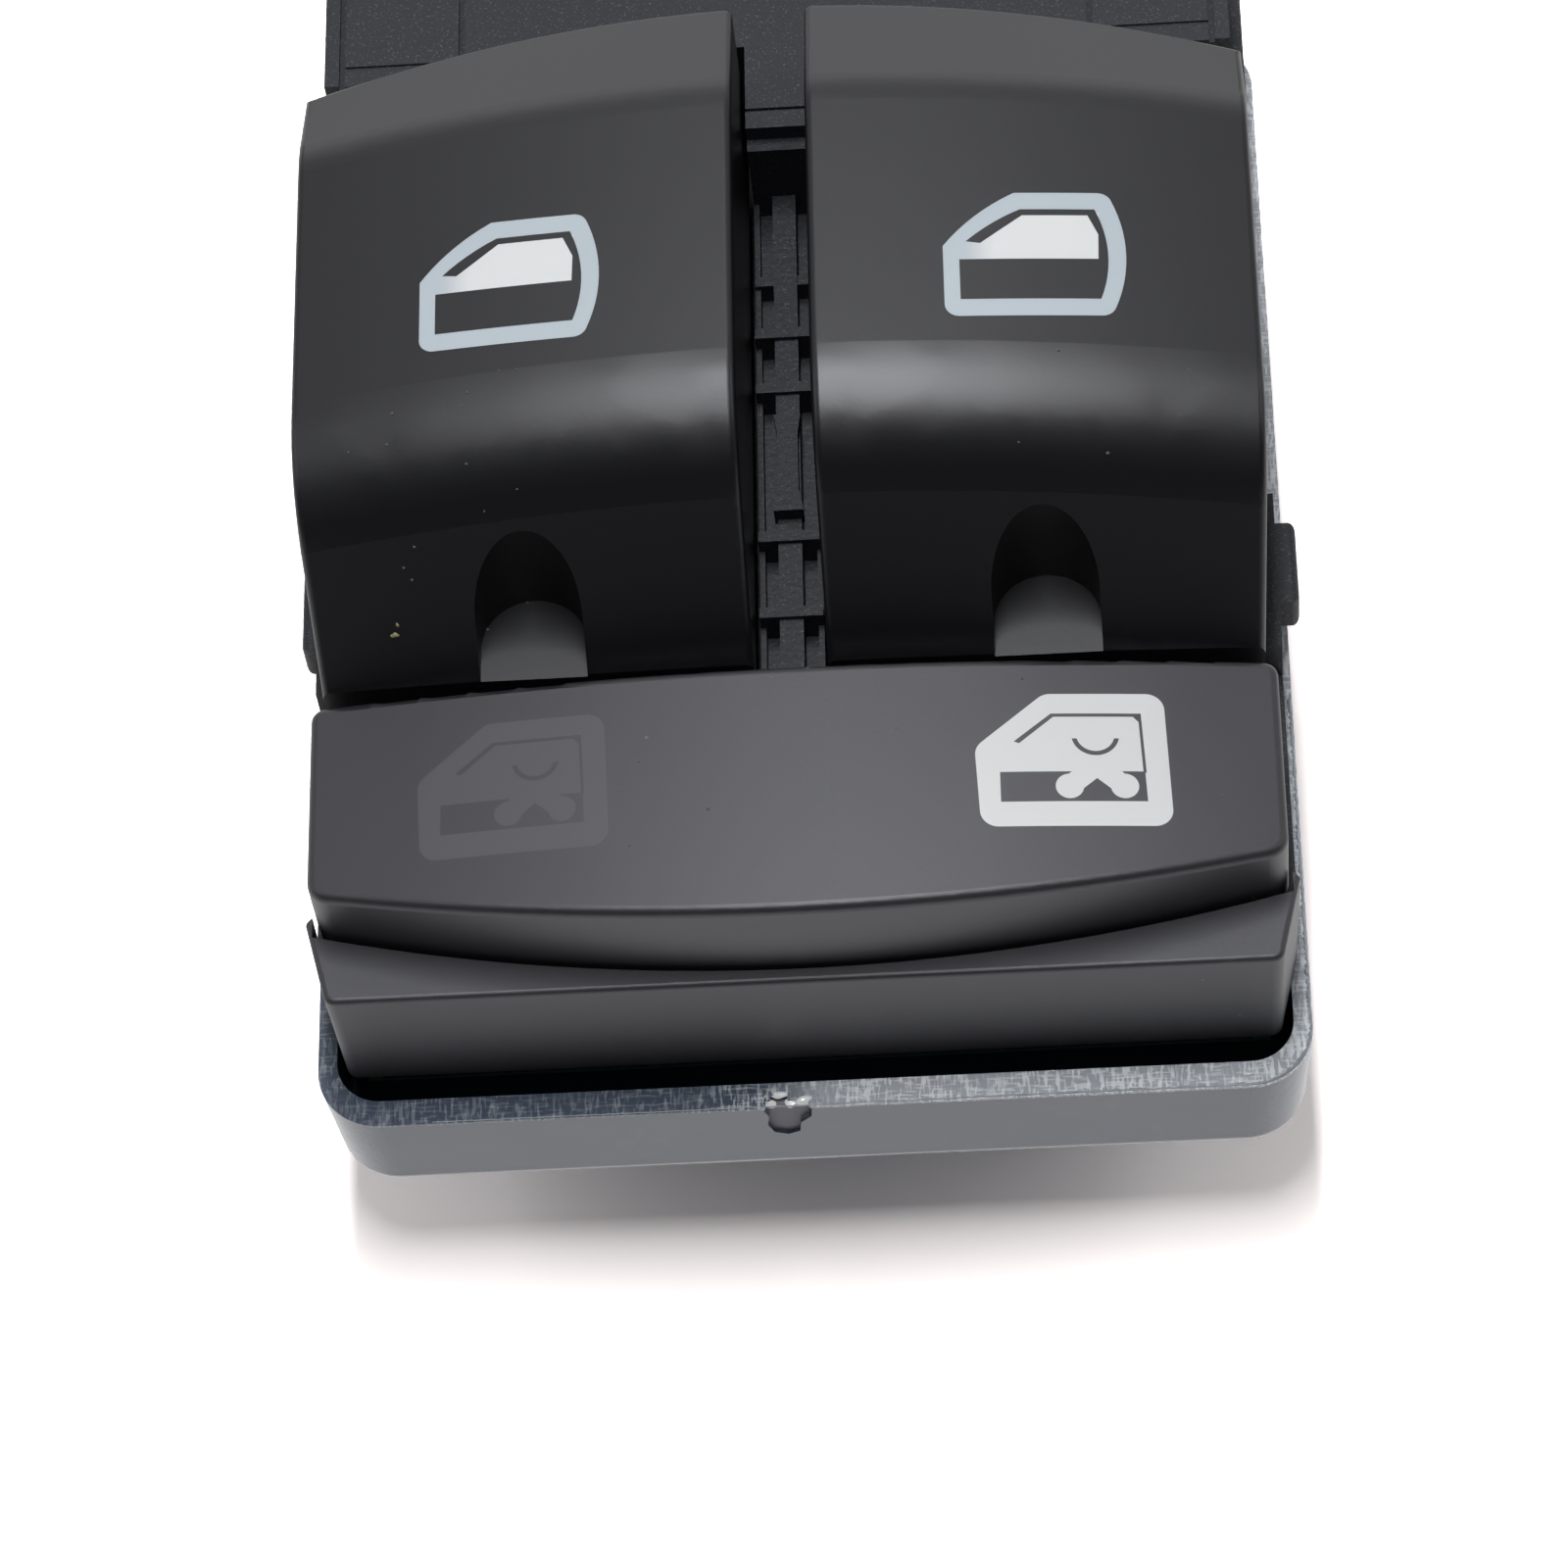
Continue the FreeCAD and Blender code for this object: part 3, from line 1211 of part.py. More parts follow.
def light_guide(name, x, y, top):
    """A clear guide above a lamp, with a collar that rests on the platform."""
    stem = box(name + "_stem", x - 2.1, x + 2.1, along(y - 1.4), along(y + 1.4),
               board_top + 1.2, top)
    collar = box(name + "_collar", x - 2.9, x + 2.9, along(y - 2.2), along(y + 2.2),
                 platform_top, platform_top + 1.2)
    return fuse(name, stem, collar)


def make_lock_guides():
    """Clear guides between the lamps and the lock pictograms."""
    top = bar_top - bar_crown * 0.36 - 2.0 - bar_travel - 0.6
    guides = [light_guide("lock_guide_%d" % sx, lock_x * sx, lock_lamp_y, top) for sx in (-1, 1)]
    node("lock_light_guides", group("lock_guide_group", guides))


make_tray()
make_cover()
make_screws()
make_board()
make_housing()
make_bezel()
make_bar()
make_lock_guides()
for side_name in ("left", "right"):
    make_rocker(side_name)

doc.recompute()
bad = [o.Name for o in doc.Objects if "Invalid" in o.State or "Error" in o.State]
if bad:
    raise RuntimeError("objects in error: %s" % bad)
os.makedirs("parts", exist_ok=True)
for name, obj in nodes.items():
    if obj.Shape.isNull() or not obj.Shape.isValid() or not obj.Shape.Solids:
        raise RuntimeError("no valid shape for " + name)
    box_of = obj.Shape.BoundBox
    print("%-22s solids %2d volume %9.2f  x %7.2f %7.2f  y %7.2f %7.2f  z %6.2f %6.2f" % (
        name, len(obj.Shape.Solids), obj.Shape.Volume, box_of.XMin, box_of.XMax,
        box_of.YMin, box_of.YMax, box_of.ZMin, box_of.ZMax))
    obj.Shape.exportStep("parts/%s.step" % name)
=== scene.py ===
"""Looks of a power window switch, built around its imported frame.

Sizes in the dataclasses are millimetres and become metres where a mesh is made. +X is to the
driver's right, +Y away from the driver and +Z up out of the door trim.
"""
import logging
import math
from dataclasses import dataclass
from enum import Enum
from typing import Callable, Optional, Sequence

import bpy
import numpy as np
from mathutils import Matrix, Vector


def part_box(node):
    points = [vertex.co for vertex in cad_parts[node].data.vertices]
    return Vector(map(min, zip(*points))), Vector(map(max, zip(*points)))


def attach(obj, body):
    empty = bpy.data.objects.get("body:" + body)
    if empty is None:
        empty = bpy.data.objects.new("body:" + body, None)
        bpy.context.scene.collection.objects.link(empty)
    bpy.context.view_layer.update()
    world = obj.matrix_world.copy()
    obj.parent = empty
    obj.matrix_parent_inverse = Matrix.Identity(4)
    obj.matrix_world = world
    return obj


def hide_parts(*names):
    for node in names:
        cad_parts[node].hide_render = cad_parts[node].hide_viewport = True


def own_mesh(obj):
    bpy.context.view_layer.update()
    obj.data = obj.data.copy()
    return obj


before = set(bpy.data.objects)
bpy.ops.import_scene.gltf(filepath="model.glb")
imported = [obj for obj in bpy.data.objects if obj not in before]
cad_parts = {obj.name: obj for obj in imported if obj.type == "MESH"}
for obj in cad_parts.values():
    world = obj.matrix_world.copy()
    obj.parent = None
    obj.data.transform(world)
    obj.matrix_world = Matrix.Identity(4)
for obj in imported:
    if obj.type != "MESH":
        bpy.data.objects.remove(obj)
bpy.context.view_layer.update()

MM = 0.001
Colour = tuple[float, float, float]
Point = tuple[float, float, float]
MIX_FIRST, MIX_SECOND, MIX_RESULT = 6, 7, 2  # colour sockets of the Mix node
log = logging.getLogger("window_switch")


def linear(code: str) -> Colour:
    """Turns a screen colour into linear light.

    Args:
        code: Six hexadecimal digits.

    Returns:
        Red, green and blue, each raised from the screen curve to linear.
    """
    parts = np.array([int(code[i:i + 2], 16) for i in (0, 2, 4)]) / 255
    curve = np.where(parts <= 0.04045, parts / 12.92, ((parts + 0.055) / 1.055) ** 2.4)
    return tuple(curve.tolist())


# Shader writing

class Nodes:
    """Writes shader nodes into one tree."""

    def __init__(self, tree: bpy.types.NodeTree) -> None:
        """Args: tree is the tree of a material or of a group."""
        self.tree = tree
        self._place: Optional[bpy.types.NodeSocket] = None

    def add(self, kind: str, **settings: object) -> bpy.types.Node:
        """Adds a node.

        Args:
            kind: Type name without its ShaderNode part.
            settings: Properties of the node.

        Returns:
            The new node.
        """
        made = self.tree.nodes.new("ShaderNode" + kind)
        for name, value in settings.items():
            setattr(made, name, value)
        return made

    def feed(self, socket: bpy.types.NodeSocket, value: object) -> None:
        """Links a socket to an input, or sets the input to a plain value."""
        if isinstance(value, bpy.types.NodeSocket):
            self.tree.links.new(value, socket)
        elif value is not None:
            if socket.type == "RGBA" and len(value) == 3:
                value = (*value, 1.0)
            socket.default_value = value

    @property
    def place(self) -> bpy.types.NodeSocket:
        """Object coordinates, in metres."""
        if self._place is None:
            self._place = self.add("TexCoord").outputs["Object"]
        return self._place

    def math(self, operation: str, a: object, b: object = None, c: object = None,
             clamp: bool = False) -> bpy.types.NodeSocket:
        """One arithmetic step.

        Args:
            operation: Name of the operation, such as MULTIPLY.
            a: First value or socket.
            b: Second value or socket.
            c: Third value or socket.
            clamp: Whether the result stays between 0 and 1.

        Returns:
            The result.
        """
        made = self.add("Math", operation=operation, use_clamp=clamp)
        for i, value in enumerate((a, b, c)):
            self.feed(made.inputs[i], value)
        return made.outputs[0]

    def window(self, value: object, low: float, high: float) -> bpy.types.NodeSocket:
        """Rises smoothly from 0 at low to 1 at high, or falls if high is under low."""
        made = self.add("MapRange", interpolation_type="SMOOTHSTEP")
        flip = high < low
        self.feed(made.inputs["Value"], value)
        self.feed(made.inputs["From Min"], high if flip else low)
        self.feed(made.inputs["From Max"], low if flip else high)
        self.feed(made.inputs["To Min"], 1.0 if flip else 0.0)
        self.feed(made.inputs["To Max"], 0.0 if flip else 1.0)
        return made.outputs["Result"]

    def product(self, *masks: bpy.types.NodeSocket) -> bpy.types.NodeSocket:
        """Product of two or more masks."""
        total = masks[0]
        for mask in masks[1:]:
            total = self.math("MULTIPLY", total, mask)
        return total

    def turned(self, scale: Point, turn: Point = (0, 0, 0)) -> bpy.types.NodeSocket:
        """Object coordinates, scaled, then turned in degrees."""
        made = self.add("Mapping")
        self.feed(made.inputs["Vector"], self.place)
        made.inputs["Scale"].default_value = scale
        made.inputs["Rotation"].default_value = [math.radians(v) for v in turn]
        return made.outputs[0]

    def noise(self, scale: object, detail: float = 3.0, rough: float = 0.55,
              vector: Optional[bpy.types.NodeSocket] = None) -> bpy.types.NodeSocket:
        """Smooth noise between 0 and 1, scale in cells per metre."""
        made = self.add("TexNoise", noise_dimensions="3D")
        self.feed(made.inputs["Vector"], vector or self.place)
        self.feed(made.inputs["Scale"], scale)
        made.inputs["Detail"].default_value = detail
        made.inputs["Roughness"].default_value = rough
        return made.outputs["Fac"]

    def axes(self) -> tuple[bpy.types.NodeSocket, ...]:
        """X, Y and Z of the object coordinates."""
        made = self.add("SeparateXYZ")
        self.feed(made.inputs[0], self.place)
        return tuple(made.outputs)

    def mix(self, factor: object, a: object, b: object) -> bpy.types.NodeSocket:
        """Blends two colours by a factor, a at 0 and b at 1."""
        made = self.add("Mix", data_type="RGBA")
        self.feed(made.inputs[0], factor)
        self.feed(made.inputs[MIX_FIRST], a)
        self.feed(made.inputs[MIX_SECOND], b)
        return made.outputs[MIX_RESULT]

    def group(self, effect: "Effect", **values: object) -> bpy.types.Node:
        """Places an effect.

        Args:
            effect: Which effect.
            values: Its inputs, with spaces in their names written as _.

        Returns:
            The group node.
        """
        made = self.add("Group")
        made.node_tree = effect.tree()
        for name, value in values.items():
            self.feed(made.inputs[name.replace("_", " ")], value)
        return made


class Effect(Enum):
    """Surface effects that several finishes share, each one node group."""

    GRAIN = "moulded grain"
    SCRATCHES = "hair scratches"
    DUST = "settled dust"

    def tree(self) -> bpy.types.NodeTree:
        """The effect's node group, written on first use."""
        found = bpy.data.node_groups.get(self.value)
        return found or WRITERS[self](self.value)


def open_group(name: str, inputs: dict[str, float], outputs: Sequence[str]
                ) -> tuple[Nodes, bpy.types.Node, bpy.types.Node]:
    """Starts a node group.

    Args:
        name: Name of the group.
        inputs: Number inputs and their defaults.
        outputs: Names of its number outputs.

    Returns:
        The writer, the group's input node and its output node.
    """
    tree = bpy.data.node_groups.new(name, "ShaderNodeTree")
    for word, value in inputs.items():
        made = tree.interface.new_socket(word, in_out="INPUT", socket_type="NodeSocketFloat")
        made.default_value = value
    for word in outputs:
        tree.interface.new_socket(word, in_out="OUTPUT", socket_type="NodeSocketFloat")
    return Nodes(tree), tree.nodes.new("NodeGroupInput"), tree.nodes.new("NodeGroupOutput")


def write_grain(name: str) -> bpy.types.NodeTree:
    """Moulded grain: fine noise for height, and slow patches for tone.

    Height is fine noise plus a third of a coarser one. Mottle is slow noise, 0 to 1.
    """
    n, source, result = open_group(name, {"Scale": 2500.0}, ("Height", "Mottle"))
    fine = n.noise(source.outputs["Scale"], 2.0)
    coarse = n.noise(n.math("MULTIPLY", source.outputs["Scale"], 0.22), 3.0)
    n.feed(result.inputs["Height"], n.math("MULTIPLY_ADD", coarse, 0.35, fine))
    slow = n.noise(n.math("MULTIPLY", source.outputs["Scale"], 0.03), 4.0, 0.6)
    n.feed(result.inputs["Mottle"], slow)
    return n.tree


def write_scratches(name: str) -> bpy.types.NodeTree:
    """Hair scratches: three layers of noise drawn out along different directions.

    Each layer is noise on coordinates pressed along one axis and turned. It is kept where it
    passes a threshold, and patches of slow noise thin it out.
    """
    n, source, result = open_group(name, {"Amount": 0.5, "Scale": 260.0}, ("Mask",))
    total: object = 0.0
    for turn, press in (((0, 0, 17), (1, 0.06, 1)), ((0, 0, -52), (1, 0.05, 1)),
                        ((12, 0, 81), (1, 0.04, 0.6))):
        layer = n.noise(source.outputs["Scale"], 2.0, 0.5, n.turned(press, turn))
        total = n.math("ADD", total, n.window(layer, 0.62, 0.70))
    patches = n.window(n.noise(95.0, 3.0), 0.45, 0.68)
    thinned = n.math("MULTIPLY", total, patches)
    n.feed(result.inputs["Mask"],
           n.math("MULTIPLY", thinned, source.outputs["Amount"], clamp=True))
    return n.tree


def write_dust(name: str) -> bpy.types.NodeTree:
    """Settled dust: round specks in a few cells of a cell pattern, more with the amount."""
    n, source, result = open_group(name, {"Amount": 0.2, "Scale": 900.0}, ("Mask",))
    cells = n.add("TexVoronoi", feature="F1")
    n.feed(cells.inputs["Vector"], n.place)
    n.feed(cells.inputs["Scale"], source.outputs["Scale"])
    chance = n.add("SeparateColor")
    n.feed(chance.inputs[0], cells.outputs["Color"])
    near = n.window(cells.outputs["Distance"], 0.16, 0.06)
    share = n.math("MULTIPLY", source.outputs["Amount"], 0.2)
    lucky = n.math("LESS_THAN", chance.outputs[0], share)
    n.feed(result.inputs["Mask"], n.math("MULTIPLY", near, lucky))
    return n.tree


WRITERS: dict[Effect, Callable[[str], bpy.types.NodeTree]] = {
    Effect.GRAIN: write_grain,
    Effect.SCRATCHES: write_scratches,
    Effect.DUST: write_dust,
}


# Finishes

DUST_COLOUR = linear("9a958c")


@dataclass(frozen=True)
class Plastic:
    """A moulded or painted plastic, with grain, slow tone changes, scratches and dust.

    Grain is in cells per metre and depth, its height, in millimetres. Mottle is the share by
    which the colour changes slowly, and unevenness scales the change of the roughness.
    """

    name: str
    colour: Colour
    roughness: float = 0.45
    specular: float = 0.5
    grain: float = 2500.0
    depth: float = 0.02
    mottle: float = 0.12
    scratches: float = 0.0
    scratch_colour: Colour = (0.25, 0.25, 0.26)
    dust: float = 0.0
    coat: float = 0.0
    coat_roughness: float = 0.1
    transmission: float = 0.0
    metallic: float = 0.0
    sheen_tint: Colour = (1.0, 1.0, 1.0)
    unevenness: float = 1.0

    def tint(self, n: Nodes, colour: object) -> object:
        """Adds what one finish has beyond the others; the plain one adds nothing."""
        return colour

    def gloss(self, n: Nodes, rough: object) -> object:
        """Changes the roughness beyond the grain; the plain one leaves it."""
        return rough

    def height(self, n: Nodes, height: object) -> object:
        """Adds relief beyond the grain; the plain one adds nothing."""
        return height

    def material(self) -> bpy.types.Material:
        """Writes the finish once.

        Returns:
            The material, with colour, roughness and bump from its nodes.
        """
        found = bpy.data.materials.get(self.name)
        if found:
            return found
        made = bpy.data.materials.new(self.name)
        made.use_nodes = True
        made.diffuse_color = (*self.colour, 1.0)
        n = Nodes(made.node_tree)
        shader = made.node_tree.nodes["Principled BSDF"]
        grain = n.group(Effect.GRAIN, Scale=self.grain)
        low = tuple(c * (1 - self.mottle) for c in self.colour)
        high = tuple(c * (1 + self.mottle) for c in self.colour)
        colour: object = n.mix(grain.outputs["Mottle"], low, high)
        swing = (0.14 * self.roughness + 0.02) * self.unevenness
        rough: object = n.math("MULTIPLY_ADD", grain.outputs["Mottle"], swing,
                               self.roughness - swing / 2)
        if self.scratches:
            lines = n.group(Effect.SCRATCHES, Amount=self.scratches).outputs["Mask"]
            colour = n.mix(n.math("MULTIPLY", lines, 0.6), colour, self.scratch_colour)
            rough = n.math("MULTIPLY_ADD", lines, 0.2, rough)
        colour = self.tint(n, colour)
        rough = self.gloss(n, rough)
        if self.dust:
            specks = n.group(Effect.DUST, Amount=self.dust).outputs["Mask"]
            colour = n.mix(n.math("MULTIPLY", specks, 0.35), colour, DUST_COLOUR)
            rough = n.math("MULTIPLY_ADD", specks, 0.4, rough)
        for socket, value in {
                "Base Color": colour,
                "Roughness": n.math("MAXIMUM", rough, 0.03),
                "Specular IOR Level": self.specular,
                "Specular Tint": self.sheen_tint,
                "Metallic": self.metallic,
                "Transmission Weight": self.transmission,
                "Coat Weight": self.coat,
                "Coat Roughness": self.coat_roughness}.items():
            n.feed(shader.inputs[socket], value)
        bump = n.add("Bump")
        bump.inputs["Strength"].default_value = 1.0
        bump.inputs["Distance"].default_value = self.depth * MM
        n.feed(bump.inputs["Height"], self.height(n, grain.outputs["Height"]))
        n.feed(shader.inputs["Normal"], bump.outputs["Normal"])
        return made


@dataclass(frozen=True)
class FiledRim(Plastic):
    """Tray plastic whose rim was filed, with a fracture patch where a nib broke off."""

    rim_z: float = 21.0
    front_y: float = -40.2
    wall_slope: float = 0.1
    rim_fade: tuple[float, float] = (0.35, 0.05)
    haze_x: tuple[float, float] = (-4.0, 2.0)
    haze_share: float = 0.80
    haze_colour: Colour = linear("b0b5bd")
    stroke_colours: tuple[Colour, Colour] = (linear("b4bbc2"), linear("e9edf0"))
    patch_x: tuple[float, float] = (-3.7, -0.4)
    # Fracture grey, partly its own dull grey and partly painted light: made lighter to stand in for
    # light its shaded recess misses.
    fracture_grey_with_painted_light: Colour = linear("6d6e77")

    def rim(self, n: Nodes, z: object) -> bpy.types.NodeSocket:
        """1 on the rim's flat top, fading out just under it."""
        low, high = ((self.rim_z - drop) * MM for drop in self.rim_fade)
        return n.window(z, low, high)

    def wear(self, n: Nodes) -> bpy.types.NodeSocket:
        """Filing strokes on the rim.

        Three layers of noise are drawn out along X, across it and aslant, and kept where they
        pass a threshold. They are dense right of the middle, and few and faint left of it.
        """
        x, _, z = n.axes()
        right = n.math("MULTIPLY_ADD", n.window(x, -9 * MM, 6 * MM), 1.1, 0.16)
        right = n.math("SUBTRACT", right, n.math("MULTIPLY", n.window(x, 16 * MM, 29 * MM), 0.3))
        along, across, slant = (
            n.window(n.noise(scale, 2.0, 0.5, n.turned(press, (0, 0, turn))), low, high)
            for scale, press, turn, low, high in ((5200.0, (0.16, 1, 1), 5, 0.50, 0.64),
                                                  (4300.0, (1, 0.2, 1), -14, 0.50, 0.62),
                                                  (3600.0, (1, 0.15, 1), 33, 0.56, 0.66)))
        total = n.math("MULTIPLY_ADD", along, 0.6, n.math("MULTIPLY_ADD", slant, 0.5, across))
        patches = n.window(n.noise(300.0, 3.0), 0.22, 0.55)
        return n.math("MULTIPLY", n.math("MULTIPLY", total, self.rim(n, z)),
                      n.math("MULTIPLY", right, patches), clamp=True)

    def patch(self, n: Nodes) -> bpy.types.NodeSocket:
        """1 inside the broken-off patch, which lies behind the front wall's plane."""
        x, y, z = n.axes()
        depth = n.math("MULTIPLY_ADD", n.math("SUBTRACT", z, self.rim_z * MM), self.wall_slope,
                       n.math("SUBTRACT", y, self.front_y * MM))
        left, right = (v * MM for v in self.patch_x)
        return n.product(n.window(x, left, left + 0.1 * MM),
                         n.window(x, right, right - 0.1 * MM),
                         n.window(depth, 0.06 * MM, 0.12 * MM),
                         n.window(depth, 0.9 * MM, 0.7 * MM),
                         n.window(z, (self.rim_z - 0.02) * MM, (self.rim_z - 0.3) * MM))

    def tint(self, n: Nodes, colour: object) -> object:
        """Pale haze and strokes on the rim, and a dull grey fracture lifted by painted light."""
        pale = n.mix(n.noise(2600.0, 3.0), *self.stroke_colours)
        x, _, z = n.axes()
        haze = n.math("MULTIPLY", self.rim(n, z), n.window(x, *(v * MM for v in self.haze_x)))
        worn = n.mix(n.math("MULTIPLY", haze, self.haze_share), colour, self.haze_colour)
        worn = n.mix(self.wear(n), worn, pale)
        # Painted light: the fracture gets a lifted grey against the shade of its recess.
        return n.mix(self.patch(n), worn, self.fracture_grey_with_painted_light)

    def gloss(self, n: Nodes, rough: object) -> object:
        """The strokes and the fracture are duller than the moulding."""
        rough = n.math("MULTIPLY_ADD", self.wear(n), 0.3, rough)
        return n.math("MULTIPLY_ADD", self.patch(n), 0.45, rough)

    def height(self, n: Nodes, height: object) -> object:
        """Slow waves of the moulding under the grain, and the strokes' burrs."""
        waves = n.math("MULTIPLY_ADD", n.noise(130.0, 2.0), 5.0, height)
        return n.math("MULTIPLY_ADD", self.wear(n), 2.5, waves)


@dataclass(frozen=True)
class DeckGrain(Plastic):
    """Stippled grain of the deck and channel, with light speckles."""

    speckles: float = 6000.0
    speckle_share: float = 0.30
    speckle_colour: Colour = linear("767a84")

    def tint(self, n: Nodes, colour: object) -> object:
        """Light speckles where fine noise passes a threshold."""
        dots = n.window(n.noise(self.speckles, 2.0), 0.58, 0.72)
        return n.mix(n.math("MULTIPLY", dots, self.speckle_share), colour, self.speckle_colour)


@dataclass(frozen=True)
class WindowPrint(Plastic):
    """Translucent pictogram: bluish frame and a whiter pane under its slanted gap."""

    corner: tuple[float, float] = (0.0, 0.0)
    extent: tuple[float, float] = (11.25, 9.15)
    pane_colour: Colour = linear("ccced0")

    def tint(self, n: Nodes, colour: object) -> object:
        """The pane's own colour inside it.

        With u and v the shares of the pictogram's width and depth, the pane lies above the
        sill, left of the far post and under the gap, which rises by 0.965 per unit of u. Its
        left end blends into the frame.
        """
        x, y, _ = n.axes()
        u = n.math("DIVIDE", n.math("SUBTRACT", x, self.corner[0] * MM), self.extent[0] * MM)
        v = n.math("DIVIDE", n.math("SUBTRACT", y, self.corner[1] * MM), self.extent[1] * MM)
        under = n.math("SUBTRACT", n.math("MULTIPLY_ADD", u, 0.965, 0.458), v)
        inside = n.product(n.window(u, 0.10, 0.30), n.window(u, 0.862, 0.855),
                           n.window(v, 0.455, 0.462), n.window(v, 0.84, 0.83),
                           n.window(under, -0.01, 0.01))
        return n.mix(inside, colour, self.pane_colour)


@dataclass(frozen=True)
class Metal(Plastic):
    """A plated or drawn metal."""

    metallic: float = 1.0

    def height(self, n: Nodes, height: object) -> object:
        """Drawing lines along the piece."""
        return n.math("ADD", n.noise(4000.0, 2.0, 0.5, n.turned((1, 1, 0.08))), height)


COOL = (0.95, 0.96, 1.0)  # tint of the sheen on the paints
SOFT_PAINT = Plastic(
    "soft anthracite paint", linear("0f0f12"), roughness=0.375, specular=0.60, grain=3200.0,
    depth=0.005, mottle=0.06, sheen_tint=COOL, unevenness=0.2)
# Painted light: the rockers' soft anthracite paint in a lighter colour, standing in for light that
# the bar catches.
BAR_PAINT_WITH_PAINTED_LIGHT = Plastic(
    "soft anthracite paint lightened as painted light on the bar", linear("27262b"), roughness=0.44, specular=0.72, grain=3200.0,
    depth=0.005, mottle=0.06, dust=0.08, sheen_tint=COOL, unevenness=0.2)
# Painted light: the rockers' soft anthracite paint in a lighter colour, standing in for light that
# falls on the bezel.
BEZEL_PAINT_WITH_PAINTED_LIGHT = Plastic(
    "bezel anthracite paint", linear("2f2f34"), roughness=0.46, specular=0.58, grain=3200.0,
    depth=0.007, mottle=0.08, dust=0.15, sheen_tint=COOL, unevenness=0.2)
TRAY = FiledRim(
    "filed tray plastic", linear("3e4858"), roughness=0.20, specular=0.62, grain=1600.0,
    depth=0.010, mottle=0.22, scratches=0.12, scratch_colour=linear("6d737b"))
HOUSING = DeckGrain(
    "stippled housing plastic", linear("1d1f25"), roughness=0.55, specular=0.36, grain=2600.0,
    depth=0.04, mottle=0.2)
COVER = Plastic(
    "black cover plastic", linear("1d1d1f"), roughness=0.5, specular=0.5, grain=2200.0,
    depth=0.03, mottle=0.2, scratches=0.2)
WHITE_STEM = Plastic(
    "natural white moulding", linear("d8d5cb"), roughness=0.42, specular=0.5, grain=1800.0,
    depth=0.01, mottle=0.05)
CLEAR = Plastic(
    "clear guide plastic", linear("dfe6ea"), roughness=0.08, specular=0.5, grain=900.0,
    depth=0.002, mottle=0.03, transmission=0.75)
SILICONE = Plastic(
    "silicone rubber", linear("a9a79f"), roughness=0.6, specular=0.4, grain=1500.0, depth=0.01,
    mottle=0.06)
LAMINATE = Plastic(
    "green lacquered laminate", linear("1f5a36"), roughness=0.28, specular=0.5, grain=1300.0,
    depth=0.008, mottle=0.15, coat=0.4)
RESIN = Plastic(
    "chip resin", linear("1c1c1d"), roughness=0.55, specular=0.5, grain=3000.0, depth=0.02,
    mottle=0.1)
LAMP = Plastic(
    "lamp resin", linear("efe3a8"), roughness=0.25, specular=0.5, grain=1500.0, depth=0.004,
    mottle=0.05, coat=0.5)
STEEL = Metal(
    "zinc plated steel", linear("b9babc"), roughness=0.28, specular=0.5, grain=2600.0,
    depth=0.006, mottle=0.12)
TIN = Metal(
    "tinned brass", linear("c9bd97"), roughness=0.25, specular=0.5, grain=2600.0, depth=0.004,
    mottle=0.1)
DIM_PRINT = Plastic(
    "smoked pictogram", linear("48474d"), roughness=0.42, specular=0.5, grain=2600.0,
    depth=0.004, mottle=0.10)
WHITE_PRINT = Plastic(
    "white pictogram", linear("c9cbcc"), roughness=0.38, specular=0.5, grain=2600.0,
    depth=0.004, mottle=0.03)
FILINGS = Plastic(
    "filed burr", linear("8c939b"), roughness=0.35, specular=0.6, grain=3000.0, depth=0.01,
    mottle=0.45)
TORN = Plastic(
    "torn plastic bead", linear("e4e6e8"), roughness=0.18, specular=0.8, grain=2400.0,
    depth=0.012, mottle=0.3)
FLECK = Plastic(
    "dust fleck", linear("55555a"), roughness=0.8, specular=0.3, grain=5000.0, depth=0.02,
    mottle=0.3)
CRUMB = Plastic(
    "yellowish crumb", linear("8d8866"), roughness=0.7, specular=0.3, grain=5000.0, depth=0.02,
    mottle=0.3)


def dress(names: Sequence[str], finish: Plastic) -> None:
    """Gives CAD nodes a finish.

    Args:
        names: Names of the nodes.
        finish: What they are finished with.
    """
    for name in names:
        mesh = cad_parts[name].data
        mesh.materials.clear()
        mesh.materials.append(finish.material())
        log.info("dressed %s with %s", name, finish.name)


# Piece making

